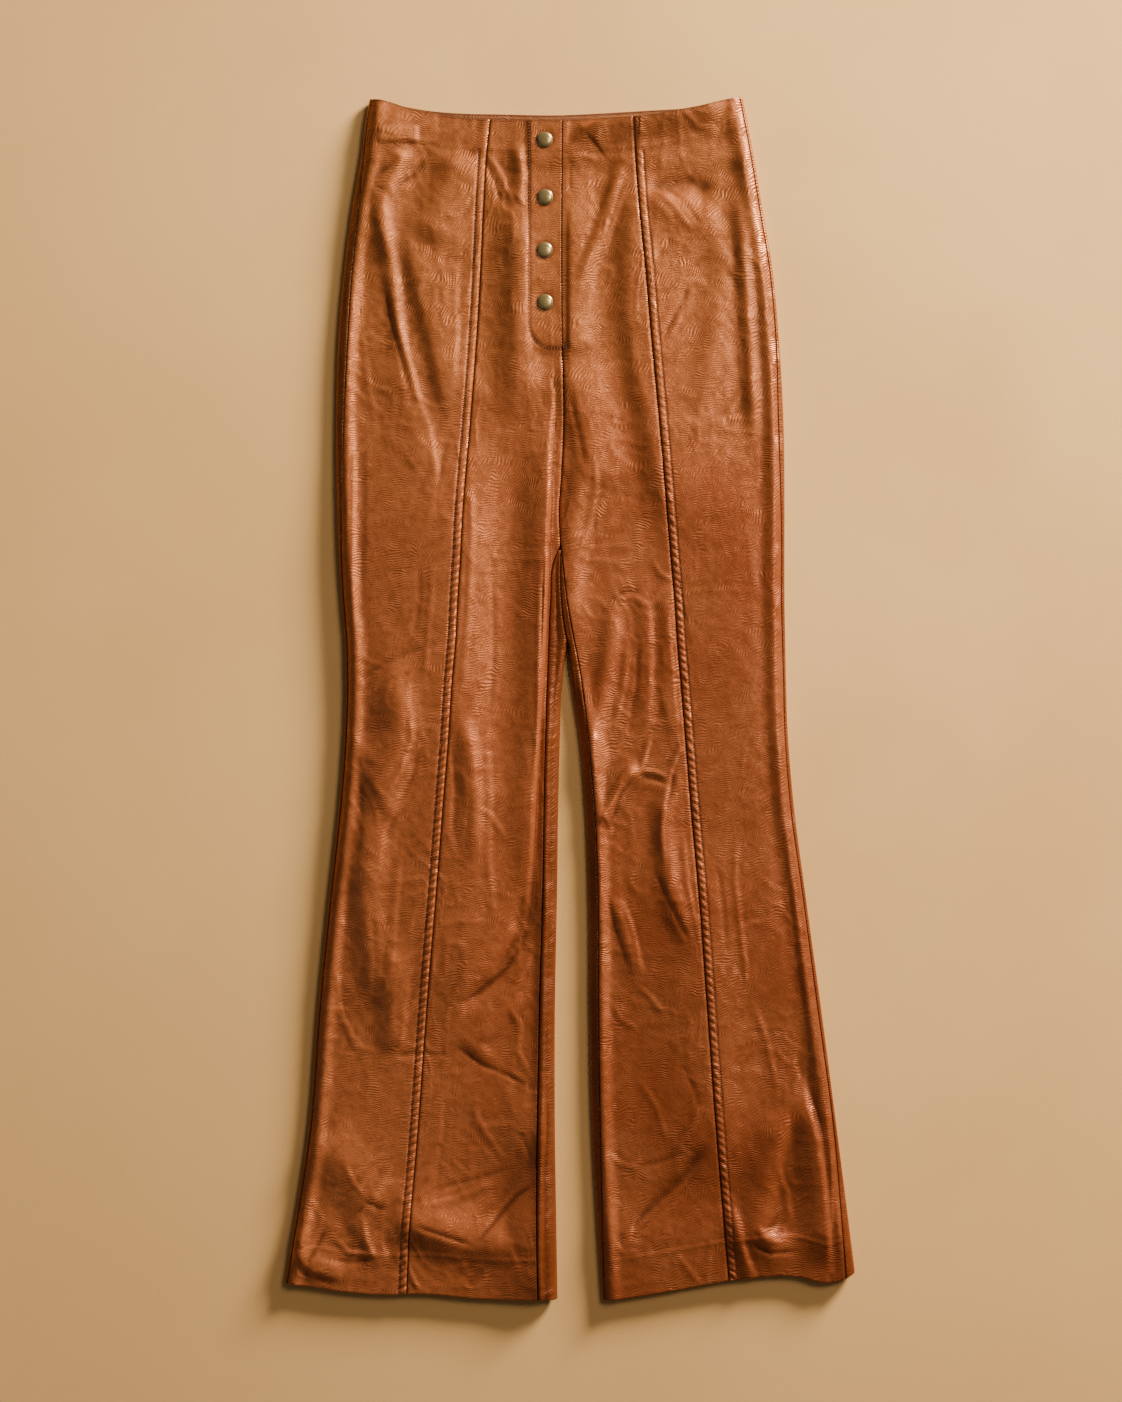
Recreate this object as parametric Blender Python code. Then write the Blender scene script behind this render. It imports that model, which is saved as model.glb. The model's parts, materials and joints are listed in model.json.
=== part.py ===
"""Leather trousers, laid flat and face up.

High waist with no waistband, four princess-seamed front panels, two back panels
that wrap round the edges of each leg, a four-snap fly and long flared legs.

Frame: metres, +Z up. The trousers rest on z = 0 with the waist towards +Y and the
wearer's right leg at -X. Left and right in the names are those of the picture plane.

Plan positions are read off in drawing units, x to the right and y down from the
drawing's corner. One unit is UNIT_MM millimetres. Heights and widths are in millimetres.
"""

import math

import bmesh
import bpy
import numpy as np

# Drawing scale and datum.
UNIT_MM = 0.875
DATUM_X = 570.0
DATUM_Y = 699.25
MM = 0.001

# Leather and how it lies.
LEATHER = 1.4
SEAM_GAP = 0.3
HEM_TURNING_EXTRA = 0.9
HEM_TURNING_UNITS = 40.0
FACING_THICKNESS = 0.9
FACING_DEPTH_UNITS = 42.0
UNDERLAP_THICKNESS = 1.0

# Heights of the middle of the front leather.
FRONT_LOWEST = 2.6
FRONT_LOFT = 4.6
WAIST_LIFT = 1.1
HEM_LIFT = 1.9
FLY_LIFT = 1.6
PLACKET_STEP = 0.8
FLY_CALM = 0.65

# The rounded fold along each edge of a leg.
EDGE_MID_HEIGHT = 5.0
EDGE_TOP_REACH = 10.0
EDGE_UNDER_REACH = 7.0
EDGE_BULGE = 3.0
EDGE_BULGE_CENTRE = 9.0
EDGE_BULGE_WIDTH = 6.5
BULGE_LOSS_AT_OPENINGS = 0.45
INNER_REACH_AT_FORK = 3.0
INNER_REACH_FULL_Y = 740.0

# Places along the garment, in drawing units.
WAIST_Y = 121.0
WAIST_BLEND_END = 225.0
WAIST_SEAM_Y = 150.0
HEM_Y = 1290.0
HEM_BLEND_START = 1175.0
FRONT_CROTCH_Y = 546.0
STRIP_TOP_Y = 550.0
FORK_Y = 645.0
FLY_BOTTOM_Y = 349.0
FLY_STITCH_X = 529.0
UNDERLAP_LEFT_X = 532.0
UNDERLAP_RIGHT_X = 563.5
UNDERLAP_BOTTOM_Y = 343.0

# Snap caps.
CAP_RADIUS = 7.0
CAP_RIM_HEIGHT = 0.8
CAP_HEIGHT = 2.4
CAP_EDGE_ROUNDING = 0.5
CAP_SEGMENTS = 20
CAP_CLEARANCE = 0.25
CAP_PLACES = (
    # x, y
    (544.5, 141.0),
    (545.0, 198.0),
    (544.5, 251.0),
    (545.0, 303.0),
)

# Left leg: height on the drawing, outer edge, side seam and princess seam.
LEFT_OUTER = (
    # y, outer, side, princess
    (98.0, 370.0, 373.0, 491.5),
    (121.0, 365.5, 368.5, 490.0),
    (150.0, 362.0, 365.0, 487.0),
    (215.0, 351.0, 359.0, 483.0),
    (260.0, 345.3, 353.5, 481.0),
    (340.0, 338.2, 348.0, 476.5),
    (420.0, 336.0, 344.0, 470.5),
    (512.0, 337.0, 342.0, 463.0),
    (560.0, 338.7, 342.5, 460.5),
    (600.0, 341.3, 344.5, 458.0),
    (640.0, 344.6, 347.7, 456.0),
    (680.0, 345.5, 348.6, 452.5),
    (735.0, 344.0, 347.1, 449.0),
    (792.0, 340.0, 343.1, 444.5),
    (900.0, 328.6, 331.7, 436.0),
    (1007.0, 318.0, 321.1, 427.0),
    (1130.0, 308.3, 311.4, 418.0),
    (1235.0, 292.5, 295.6, 409.5),
    (1300.0, 282.0, 285.1, 406.5),
)

# Right leg: height on the drawing, outer edge, side seam and princess seam.
RIGHT_OUTER = (
    # y, outer, side, princess
    (98.0, 742.5, 739.4, 630.5),
    (121.0, 747.0, 743.9, 633.0),
    (150.0, 752.5, 749.4, 635.0),
    (215.0, 763.3, 760.2, 639.7),
    (260.0, 771.2, 767.8, 644.5),
    (340.0, 779.0, 775.5, 651.5),
    (420.0, 783.5, 777.8, 659.0),
    (512.0, 784.6, 780.5, 667.0),
    (560.0, 784.5, 781.0, 671.0),
    (600.0, 784.6, 780.8, 674.5),
    (640.0, 785.3, 781.8, 677.0),
    (680.0, 786.0, 782.9, 680.5),
    (735.0, 788.0, 784.3, 685.0),
    (792.0, 792.5, 788.3, 689.5),
    (900.0, 806.3, 802.8, 699.0),
    (1007.0, 821.0, 817.0, 707.0),
    (1130.0, 837.0, 833.3, 716.0),
    (1235.0, 850.3, 842.0, 725.0),
    (1300.0, 858.5, 846.5, 730.5),
)

# Centre front seam and, below the crotch, the centre back seam that shows between the legs.
CENTRE_FRONT = (
    # y, x
    (98.0, 562.0),
    (340.0, 562.0),
    (420.0, 563.8),
    (475.0, 561.5),
    (512.0, 559.2),
    (546.0, 560.5),
)
CENTRE_BACK_SHOWN = (
    # y, x
    (546.0, 560.7),
    (600.0, 561.5),
    (622.0, 563.8),
    (645.0, 568.0),
)
CENTRE_BACK_UNDER = (
    # y, x
    (98.0, 562.0),
    (560.0, 562.0),
    (622.0, 564.5),
    (645.0, 568.0),
)

# Inner edges of the legs: inseams and silhouettes, left leg then right leg.
INNER_EDGES = (
    # y, left inseam, left inner, right inner, right inseam
    (546.0, 560.2, 568.0, 568.0, 561.0),
    (560.0, 554.0, 568.0, 568.0, 562.5),
    (600.0, 550.3, 568.0, 568.0, 567.0),
    (645.0, 548.3, 567.8, 568.2, 575.0),
    (660.0, 547.8, 565.0, 569.2, 578.0),
    (690.0, 546.8, 561.8, 573.0, 582.8),
    (735.0, 545.5, 560.0, 579.8, 588.0),
    (792.0, 544.0, 558.5, 585.0, 593.5),
    (900.0, 542.3, 557.0, 589.5, 598.0),
    (1007.0, 539.2, 555.0, 590.2, 598.4),
    (1130.0, 536.9, 555.0, 592.6, 600.3),
    (1235.0, 536.4, 556.5, 598.5, 603.0),
    (1300.0, 537.4, 557.5, 602.8, 604.8),
)

# Upper edges of the waist and lower edges of the legs.
WAIST_EDGE = (
    # x, back edge, front edge
    (365.0, 99.0, 99.0),
    (385.0, 102.5, 102.5),
    (400.0, 105.0, 107.0),
    (430.0, 110.0, 113.5),
    (455.0, 113.5, 118.0),
    (500.0, 115.0, 120.5),
    (560.0, 116.0, 121.0),
    (600.0, 114.2, 120.0),
    (650.0, 111.0, 116.5),
    (680.0, 108.8, 111.5),
    (705.0, 106.0, 107.0),
    (725.0, 102.0, 102.0),
    (746.0, 97.5, 97.5),
)
HEM_EDGE = (
    # x, hem
    (280.0, 1282.5),
    (300.0, 1284.5),
    (350.0, 1291.5),
    (385.0, 1294.0),
    (420.0, 1293.0),
    (480.0, 1298.0),
    (520.0, 1299.0),
    (558.0, 1299.0),
    (600.0, 1300.0),
    (650.0, 1294.0),
    (700.0, 1285.0),
    (745.0, 1278.0),
    (780.0, 1275.0),
    (800.0, 1276.0),
    (826.0, 1282.0),
    (845.0, 1278.0),
    (860.0, 1271.0),
)

# Folds of the front. Each is a crest, or a hollow where its rise is negative, walked downwards
# or to the right. Its far flank is the one on the right-hand side of that walk.
FOLDS = (
    # rise, width of the far flank, width of the near flank (mm), line (x, y)
    (3.0, 16.0, 26.0, ((462, 148), (450, 185), (436, 215), (420, 246))),
    (1.5, 7.0, 6.0, ((404, 150), (396, 172), (384, 196))),
    (2.8, 15.0, 22.0, ((384, 96), (386, 130), (384, 170), (380, 215), (376, 268))),
    (1.8, 7.0, 6.0, ((380, 180), (383, 215), (389, 250), (395, 296), (401, 345), (405, 374))),
    (1.6, 20.0, 13.0, ((400, 346), (408, 392), (418, 440), (430, 486))),
    (2.0, 7.5, 26.0, ((410, 232), (421, 292), (434, 342), (443, 386), (452, 428))),
    (3.1, 15.0, 18.0, ((501, 186), (514, 230), (519, 262), (516, 305), (517, 345), (519, 385), (510, 430))),
    (1.5, 6.5, 5.0, ((517, 140), (521, 174), (519, 208))),
    (3.2, 14.0, 60.0, ((638, 150), (634, 230), (632, 312), (640, 370), (652, 430), (666, 500), (676, 560))),
    (1.8, 5.0, 6.0, ((622, 162), (609, 206), (597, 243), (578, 286))),
    (1.6, 5.0, 24.0, ((571, 196), (569, 260), (569, 340), (573, 380))),
    (5.0, 18.0, 6.0, ((571, 148), (586, 131), (606, 121), (634, 116), (668, 111), (705, 105), (742, 100))),
    (-1.9, 9.0, 8.0, ((646, 196), (662, 186), (690, 184), (716, 194))),
    (1.5, 20.0, 9.0, ((646, 214), (662, 202), (682, 206), (700, 218), (724, 212))),
    (1.4, 12.0, 24.0, ((719, 216), (723, 262), (720, 310), (711, 362), (700, 416))),
    (2.4, 6.0, 8.0, ((736, 180), (743, 240), (747, 300), (751, 380), (755, 450))),
    (3.2, 60.0, 27.0, ((744, 400), (748, 520), (750, 640), (756, 740), (760, 840), (770, 930), (784, 1080))),
    (3.0, 15.0, 32.0, ((566, 352), (577, 400), (589, 446), (594, 500))),
    (2.0, 10.0, 12.0, ((582, 452), (572, 530), (570, 590), (574, 652))),
    (5.2, 21.0, 2.4, ((552, 392), (550, 430), (548, 500), (546, 560), (543, 630), (539, 710), (534, 780),
                      (530, 860), (523, 930))),
    (6.4, 90.0, 42.0, ((456, 400), (452, 560), (452, 640), (458, 720), (468, 800), (470, 870), (462, 940),
                       (448, 1070))),
    (1.6, 8.0, 8.0, ((462, 712), (472, 760), (476, 820), (472, 866))),
    (-2.4, 7.0, 9.0, ((526, 890), (519, 935), (498, 975), (458, 1012))),
    (3.4, 18.0, 15.0, ((392, 650), (400, 728), (393, 762), (379, 794), (372, 830), (370, 900))),
    (1.4, 8.0, 20.0, ((362, 730), (369, 768), (388, 804), (404, 822))),
    (2.6, 12.0, 17.0, ((364, 842), (366, 900), (372, 950), (380, 1012))),
    (2.0, 9.0, 12.0, ((398, 940), (394, 1005), (390, 1060))),
    (1.2, 8.0, 8.0, ((532, 986), (500, 1016), (472, 1042), (500, 1068))),
    (4.2, 15.0, 24.0, ((392, 1208), (418, 1224), (448, 1236), (484, 1243), (516, 1236))),
    (-2.0, 14.0, 14.0, ((458, 1264), (484, 1228), (506, 1198), (526, 1170), (546, 1140))),
    (4.2, 27.0, 3.0, ((543, 1080), (540, 1180), (539, 1240), (540, 1320))),
    (2.8, 18.0, 24.0, ((312, 1134), (340, 1160), (362, 1194), (384, 1216))),
    (2.2, 6.0, 14.0, ((284, 1224), (296, 1250), (314, 1268), (348, 1276))),
    (1.3, 7.0, 10.0, ((352, 1214), (368, 1240), (380, 1268))),
    (1.8, 8.0, 10.0, ((616, 590), (609, 650), (601, 700), (594, 745), (592, 790))),
    (0.8, 8.0, 6.0, ((645, 580), (647, 650), (648, 700), (643, 744))),
    (0.8, 6.0, 7.0, ((665, 570), (667, 650), (668, 700), (674, 752))),
    (2.4, 9.0, 6.0, ((642, 762), (620, 788), (600, 828))),
    (2.1, 9.0, 10.0, ((668, 780), (663, 826), (668, 876), (688, 944))),
    (3.4, 50.0, 32.0, ((692, 820), (702, 960), (710, 1040), (722, 1220))),
    (1.2, 7.0, 6.0, ((612, 890), (624, 930), (638, 978))),
    (4.6, 18.0, 4.0, ((800, 1080), (816, 1140), (824, 1200), (828, 1270))),
    (4.0, 18.0, 10.0, ((784, 1100), (770, 1180), (758, 1228), (772, 1243), (800, 1243))),
    (-1.8, 8.0, 7.0, ((708, 1140), (684, 1176), (650, 1208), (624, 1234))),
    (1.8, 7.0, 5.0, ((730, 1200), (740, 1244), (752, 1286))),
)
FOLD_END_FADE = 0.22
FOLD_SCALE = 1.35

# Rows of the walls, from the waist to the hem, in drawing units.
ROWS = (
    121.0, 135.0, 151.0, 172.0, 196.0, 220.0, 245.0, 272.0, 300.0, 326.0,
    349.0, 378.0, 410.0, 445.0, 480.0, 515.0, 546.0, 550.0, 574.0, 600.0,
    624.0, 645.0, 672.0, 705.0, 738.0, 766.0, 795.0, 828.0, 865.0, 905.0,
    945.0, 985.0, 1022.0, 1062.0, 1105.0, 1145.0, 1178.0, 1204.0, 1228.0, 1250.0,
    1270.0, 1290.0,
)  # fmt: skip

# Shares of a panel's width at which its columns lie.
SIDE_PANEL_SHARES = (0.0, 0.05, 0.12, 0.21, 0.32, 0.43, 0.54, 0.66, 0.78, 0.89, 1.0)
CENTRE_PANEL_SHARES = (0.0, 0.1, 0.2, 0.3, 0.4, 0.5, 0.6, 0.7, 0.8, 0.9, 1.0)
UNDERSIDE_SHARES = (0.33, 0.67)
STRIP_SHARES = (0.25, 0.58, 1.0)

# The facing of the back waist and the strip under the fly.
FACING_SHARES = (0.0, 0.08, 0.18, 0.3, 0.42, 0.54, 0.66, 0.78, 0.88, 0.95, 1.0)
FACING_ROW_SHARES = (0.0, 0.5, 1.0)
FACING_LEFT_X = 381.0
FACING_RIGHT_X = 731.0
FACING_FROM_EDGE = 0.6
UNDERLAP_SHARES = (0.0, 0.3, 0.6, 0.86, 1.0)
UNDERLAP_FROM_WAIST = 1.5
UNDERLAP_CLEARANCE = 0.8

# Leather and metal colours, linear.
LEATHER_COLOUR = (0.305, 0.105, 0.030, 1.0)
LEATHER_INSIDE_COLOUR = (0.240, 0.085, 0.028, 1.0)
BRASS_COLOUR = (0.180, 0.130, 0.060, 1.0)


def frame_x(x):
    """Drawing x to millimetres in the frame."""
    return (np.asarray(x, float) - DATUM_X) * UNIT_MM


def frame_y(y):
    """Drawing y to millimetres in the frame."""
    return (DATUM_Y - np.asarray(y, float)) * UNIT_MM


def along(table, column, place):
    """Smooth curve through one column of a table, at a place in its first column."""
    places = np.array([row[0] for row in table])
    values = np.array([row[column] for row in table])
    slopes = np.gradient(values, places)
    place = np.clip(place, places[0], places[-1])
    index = np.clip(np.searchsorted(places, place, side="right") - 1, 0, len(places) - 2)
    step = places[index + 1] - places[index]
    t = (place - places[index]) / step
    start = (1 + 2 * t) * (1 - t) ** 2 * values[index] + t * (1 - t) ** 2 * step * slopes[index]
    finish = t * t * (3 - 2 * t) * values[index + 1] - t * t * (1 - t) * step * slopes[index + 1]
    return start + finish


def smooth(low, high, value):
    """0 below low, 1 above high, and a soft change between."""
    t = np.clip((np.asarray(value, float) - low) / (high - low), 0.0, 1.0)
    return t * t * (3 - 2 * t)


def path_distance(x, y, path):
    """Distance in millimetres from a line of points, the share of its length there, and the side."""
    best = np.full(np.shape(x), np.inf)
    share = np.zeros(np.shape(x))
    side = np.zeros(np.shape(x))
    lengths = [math.dist(a, b) for a, b in zip(path, path[1:])]
    walked = 0.0
    for (x0, y0), (x1, y1), length in zip(path, path[1:], lengths):
        t = ((x - x0) * (x1 - x0) + (y - y0) * (y1 - y0)) / length**2
        t = np.clip(t, 0.0, 1.0)
        gap = np.hypot(x - x0 - t * (x1 - x0), y - y0 - t * (y1 - y0)) * UNIT_MM
        nearer = gap < best
        best = np.where(nearer, gap, best)
        share = np.where(nearer, (walked + t * length) / sum(lengths), share)
        side = np.where(nearer, (x1 - x0) * (y - y0) - (y1 - y0) * (x - x0), side)
        walked += length
    return best, share, side


def fold_relief(x, y):
    """Sum of the folds' heights at a drawing position."""
    total = np.zeros(np.shape(x))
    for rise, far, near, path in FOLDS:
        gap, share, side = path_distance(x, y, path)
        width = np.where(side > 0, far, near)
        ends = smooth(0.0, FOLD_END_FADE, share) * smooth(0.0, FOLD_END_FADE, 1 - share)
        total = total + rise * np.exp(-((gap / width) ** 2)) * (0.15 + 0.85 * ends)
    return total * FOLD_SCALE * (1 - FLY_CALM * fly_zone(x, y))


def edge_distances(x, y):
    """Distances in millimetres from the outer and inner silhouettes of the leather's middle."""
    half = LEATHER / 2
    left = (x - along(LEFT_OUTER, 1, y)) * UNIT_MM - half
    right = (along(RIGHT_OUTER, 1, y) - x) * UNIT_MM - half
    outer = np.minimum(left, right)
    fork = (along(INNER_EDGES, 2, y) + along(INNER_EDGES, 3, y)) / 2
    inner_left = (along(INNER_EDGES, 2, y) - x) * UNIT_MM - half
    inner_right = (x - along(INNER_EDGES, 3, y)) * UNIT_MM - half
    inner = np.where(x < fork, inner_left, inner_right)
    return outer, np.where(y < FORK_Y, np.inf, inner)


def fly_zone(x, y):
    """1 over the closed fly, 0 away from it."""
    across = smooth(FLY_STITCH_X - 4, FLY_STITCH_X + 2, x) * smooth(8.0, 2.0, x - UNDERLAP_RIGHT_X)
    return across * smooth(8.0, -3.0, y - FLY_BOTTOM_Y)


def lowest(x, y):
    """Lowest the front leather's middle may lie: it rests on the layers beneath."""
    waist = smooth(24.0, 6.0, y - WAIST_SEAM_Y) * WAIST_LIFT
    start = HEM_Y - HEM_TURNING_UNITS
    turned = smooth(start - 70, start - 8, y) * HEM_LIFT
    return FRONT_LOWEST + waist + turned + FLY_LIFT * fly_zone(x, y)


def edge_rise(distance, reach):
    """0 at a silhouette, 1 beyond the reach of its rounding, as a quarter of an ellipse."""
    share = np.clip(distance / reach, 0.0, 1.0)
    return np.sqrt(np.maximum(1 - (1 - share) ** 2, 0.0))


def bulge(distance):
    """Swelling of the leather where it turns over at an edge."""
    return EDGE_BULGE * np.exp(-(((distance - EDGE_BULGE_CENTRE) / EDGE_BULGE_WIDTH) ** 2))


def height(x, y):
    """Height in millimetres of the middle of the front leather."""
    x = np.asarray(x, float)
    y = np.asarray(y, float)
    outer, inner = edge_distances(x, y)
    grown = smooth(FORK_Y, INNER_REACH_FULL_Y, y)
    inner_reach = INNER_REACH_AT_FORK + (EDGE_TOP_REACH - INNER_REACH_AT_FORK) * grown
    swelling = bulge(outer) + bulge(np.minimum(inner, 1e3)) * grown
    floor = lowest(x, y)
    openings = np.maximum(smooth(60.0, 10.0, y - WAIST_Y), smooth(60.0, 15.0, HEM_Y - y))
    free = FRONT_LOFT + swelling * (1 - BULGE_LOSS_AT_OPENINGS * openings) + fold_relief(x, y)
    inside = floor + (free + np.sqrt(free**2 + 1.0)) / 2
    rise = edge_rise(outer, EDGE_TOP_REACH) * edge_rise(np.minimum(inner, 1e3), inner_reach)
    return EDGE_MID_HEIGHT + (inside - EDGE_MID_HEIGHT) * rise


def placket_step(x, y):
    """Extra height of the fly's upper side over its facing, inside the curved stitch line."""
    across = smooth(FLY_STITCH_X - 1, FLY_STITCH_X + 4, x)
    return PLACKET_STEP * across * smooth(7.0, -11.0, y - FLY_BOTTOM_Y)


def normals_at(x, y, surface=height):
    """Unit normals of the front leather at drawing positions, one in each last axis."""
    step = 1.5
    span = 2 * step * UNIT_MM
    slope_x = (surface(x + step, y) - surface(x - step, y)) / span
    slope_y = (surface(x, y - step) - surface(x, y + step)) / span
    found = np.stack([-slope_x, -slope_y, np.ones_like(slope_x)], axis=-1)
    return found / np.linalg.norm(found, axis=-1, keepdims=True)


def row_y(y, x, waist_column):
    """Drawing y of a row at x: rows bend to follow the waist and hem edges."""
    top = smooth(WAIST_BLEND_END, WAIST_Y, y)
    bottom = smooth(HEM_BLEND_START, HEM_Y, y)
    lift = top * (along(WAIST_EDGE, waist_column, x) - WAIST_Y)
    return y + lift + bottom * (along(HEM_EDGE, 1, x) - HEM_Y)


def turning(y):
    """Extra thickness inside the hem, where the leather is turned up."""
    return HEM_TURNING_EXTRA * float(smooth(HEM_Y - HEM_TURNING_UNITS - 6, HEM_Y - HEM_TURNING_UNITS, y))


def front_points(x, y, seam_side, surface=height):
    """Middle points and normals on the front, those at a seam moved off it by half its gap."""
    x, y, seam_side = np.broadcast_arrays(np.asarray(x, float), np.asarray(y, float), seam_side)
    outward = normals_at(x, y, surface)
    places = np.stack([frame_x(x), frame_y(y), surface(x, y)], axis=-1)
    across = np.stack([outward[..., 2], np.zeros_like(x), -outward[..., 0]], axis=-1)
    across /= np.linalg.norm(across, axis=-1, keepdims=True)
    return places + across * seam_side[..., None] * SEAM_GAP / 2, outward


def wall(name, points, normals, outside, inside, cells):
    """Closed wall round a middle surface: rows of points, their normals, and the cells that exist."""
    rows, columns = cells.shape[0] + 1, cells.shape[1] + 1
    mesh = bmesh.new()
    faces = {}
    for i in range(rows):
        for j in range(columns):
            near = cells[max(i - 1, 0) : i + 1, max(j - 1, 0) : j + 1]
            if not near.any():
                continue
            outer = points[i][j] + normals[i][j] * outside[i]
            inner = points[i][j] - normals[i][j] * inside[i]
            faces[i, j] = mesh.verts.new(outer * MM), mesh.verts.new(inner * MM)
    for i in range(rows - 1):
        for j in range(columns - 1):
            if not cells[i, j]:
                continue
            ring = [(i, j), (i + 1, j), (i + 1, j + 1), (i, j + 1)]
            outer = [faces[key][0] for key in ring]
            inner = [faces[key][1] for key in ring]
            mesh.faces.new((outer[0], outer[1], outer[2]))
            mesh.faces.new((outer[0], outer[2], outer[3]))
            mesh.faces.new((inner[0], inner[2], inner[1]))
            mesh.faces.new((inner[0], inner[3], inner[2]))
            beyond = ((i, j - 1), (i + 1, j), (i, j + 1), (i - 1, j))
            for side, (row, column) in enumerate(beyond):
                held = 0 <= row < rows - 1 and 0 <= column < columns - 1 and cells[row, column]
                if held:
                    continue
                after = (side + 1) % 4
                mesh.faces.new((outer[after], outer[side], inner[side]))
                mesh.faces.new((outer[after], inner[side], inner[after]))
    bmesh.ops.recalc_face_normals(mesh, faces=mesh.faces)
    data = bpy.data.meshes.new(name)
    mesh.to_mesh(data)
    mesh.free()
    return bpy.data.objects.new(name, data)


def thicknesses(rows_y):
    """Distances from the middle to the outside and to the inside, row by row."""
    outside = [LEATHER / 2 for _ in rows_y]
    inside = [LEATHER / 2 + turning(y) for y in rows_y]
    return outside, inside


def front_panel(name, start, finish, shares, surface=height):
    """A front panel between two seam lines, each given as a curve of x against y."""
    share = np.array(shares)[None, :]
    y = np.array(ROWS)[:, None]
    x = start(y) + (finish(y) - start(y)) * share
    y = row_y(y, x, 2)
    x = start(y) + (finish(y) - start(y)) * share
    seam_side = np.where(share == 0.0, 1.0, np.where(share == 1.0, -1.0, 0.0))
    points, normals = front_points(x, y, seam_side, surface)
    cells = np.ones((len(ROWS) - 1, len(shares) - 1), bool)
    outside, inside = thicknesses(ROWS)
    return wall(name, points, normals, outside, inside, cells)


def left_side_seam(y):
    return along(LEFT_OUTER, 2, y)


def right_side_seam(y):
    return along(RIGHT_OUTER, 2, y)


def left_princess(y):
    return along(LEFT_OUTER, 3, y)


def right_princess(y):
    return along(RIGHT_OUTER, 3, y)


def left_centre(y):
    """Centre front, then the left inseam."""
    return np.where(y < FRONT_CROTCH_Y, along(CENTRE_FRONT, 1, y), along(INNER_EDGES, 1, y))


def right_centre(y):
    """Centre front, then the right inseam."""
    return np.where(y < FRONT_CROTCH_Y, along(CENTRE_FRONT, 1, y), along(INNER_EDGES, 4, y))


def front_side_left():
    """Side front panel at the left."""
    return front_panel("front_side_left", left_side_seam, left_princess, SIDE_PANEL_SHARES)


def front_centre_left():
    """Centre front panel at the left, with the fly's upper side."""

    def over_facing(x, y):
        return height(x, y) + placket_step(x, y)

    return front_panel("front_centre_left", left_princess, left_centre, CENTRE_PANEL_SHARES, over_facing)


def front_centre_right():
    """Centre front panel at the right."""
    return front_panel("front_centre_right", right_centre, right_princess, CENTRE_PANEL_SHARES)


def front_side_right():
    """Side front panel at the right."""
    shares = tuple(1 - share for share in reversed(SIDE_PANEL_SHARES))
    return front_panel("front_side_right", right_princess, right_side_seam, shares)


def edge_arc(edge, inward, angle):
    """Point and normal on the lower quarter of a rounded edge; 0 is the silhouette, 90 the flat."""
    drop = EDGE_MID_HEIGHT - LEATHER / 2
    cos, sin = math.cos(math.radians(angle)), math.sin(math.radians(angle))
    x = edge + inward * (LEATHER / 2 + EDGE_UNDER_REACH * (1 - cos))
    z = EDGE_MID_HEIGHT - drop * sin
    outward = np.array([-inward * cos / EDGE_UNDER_REACH, 0.0, -sin / drop])
    return x, z, outward / np.linalg.norm(outward)


def back_row(y, outer_table_here, outer_inward, inseam_column, inner_column):
    """One section of a back panel: from the side seam round the edge, under, and up to the inseam."""
    row = []
    normals = []

    def add(place, outward):
        row.append(place)
        normals.append(outward)

    def shown(x_of_y, seam_side):
        x = x_of_y(y)
        y_here = row_y(y, x, 1)
        add(*front_points(x_of_y(y_here), y_here, seam_side))

    def seam(at):
        return along(outer_table_here, 2, at)

    def edge(at):
        return along(outer_table_here, 1, at)

    def near_edge(at):
        reach = LEATHER / 2 / UNIT_MM
        return edge(at) + outer_inward * reach + (seam(at) - edge(at) - outer_inward * reach) * 0.35

    shown(seam, -outer_inward)
    shown(near_edge, 0)
    y_edge = row_y(y, edge(y), 1)
    for angle in (0.0, 45.0, 90.0):
        x, z, outward = edge_arc(float(frame_x(edge(y_edge))), outer_inward, angle)
        add(np.array([x, float(frame_y(y_edge)), z]), outward)
    start_x = row[-1][0]
    legs_apart = y >= FORK_Y
    down = np.array([0.0, 0.0, -1.0])
    middle = LEATHER / 2
    if legs_apart:
        inner_edge = float(frame_x(along(INNER_EDGES, inner_column, y)))
        corner = [edge_arc(inner_edge, -outer_inward, angle) for angle in (90.0, 45.0)]
    else:
        seam_x = float(frame_x(along(CENTRE_BACK_UNDER, 1, y))) - outer_inward * SEAM_GAP / 2
        corner = [(seam_x - outer_inward * reach, middle, down) for reach in (6.0, 0.0)]
    end_x = corner[0][0]
    for share in UNDERSIDE_SHARES:
        x = start_x + (end_x - start_x) * share
        y_here = row_y(y, x / UNIT_MM + DATUM_X, 1)
        add(np.array([x, float(frame_y(y_here)), middle]), down)
    for x, z, outward in corner:
        y_here = row_y(y, x / UNIT_MM + DATUM_X, 1)
        add(np.array([x, float(frame_y(y_here)), z]), outward)
    if legs_apart:
        y_edge = row_y(y, along(INNER_EDGES, inner_column, y), 1)
        x, z, outward = edge_arc(float(frame_x(along(INNER_EDGES, inner_column, y_edge))), -outer_inward, 0.0)
        add(np.array([x, float(frame_y(y_edge)), z]), outward)
    elif y >= STRIP_TOP_Y:
        add(*front_points(along(CENTRE_BACK_SHOWN, 1, y), y, -outer_inward))
    else:
        add(row[-1], down)

    for share in STRIP_SHARES:
        if y < STRIP_TOP_Y:
            add(row[-1], down)
            continue

        def strip_x(at):
            reach = LEATHER / 2 / UNIT_MM
            if legs_apart:
                begin = along(INNER_EDGES, inner_column, at) - outer_inward * reach
            else:
                begin = along(CENTRE_BACK_SHOWN, 1, at)
            return begin + (along(INNER_EDGES, inseam_column, at) - begin) * share

        y_here = row_y(y, strip_x(y), 1)
        seam_side = outer_inward if share == STRIP_SHARES[-1] else 0
        add(*front_points(strip_x(y_here), y_here, seam_side))
    return row, normals


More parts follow.
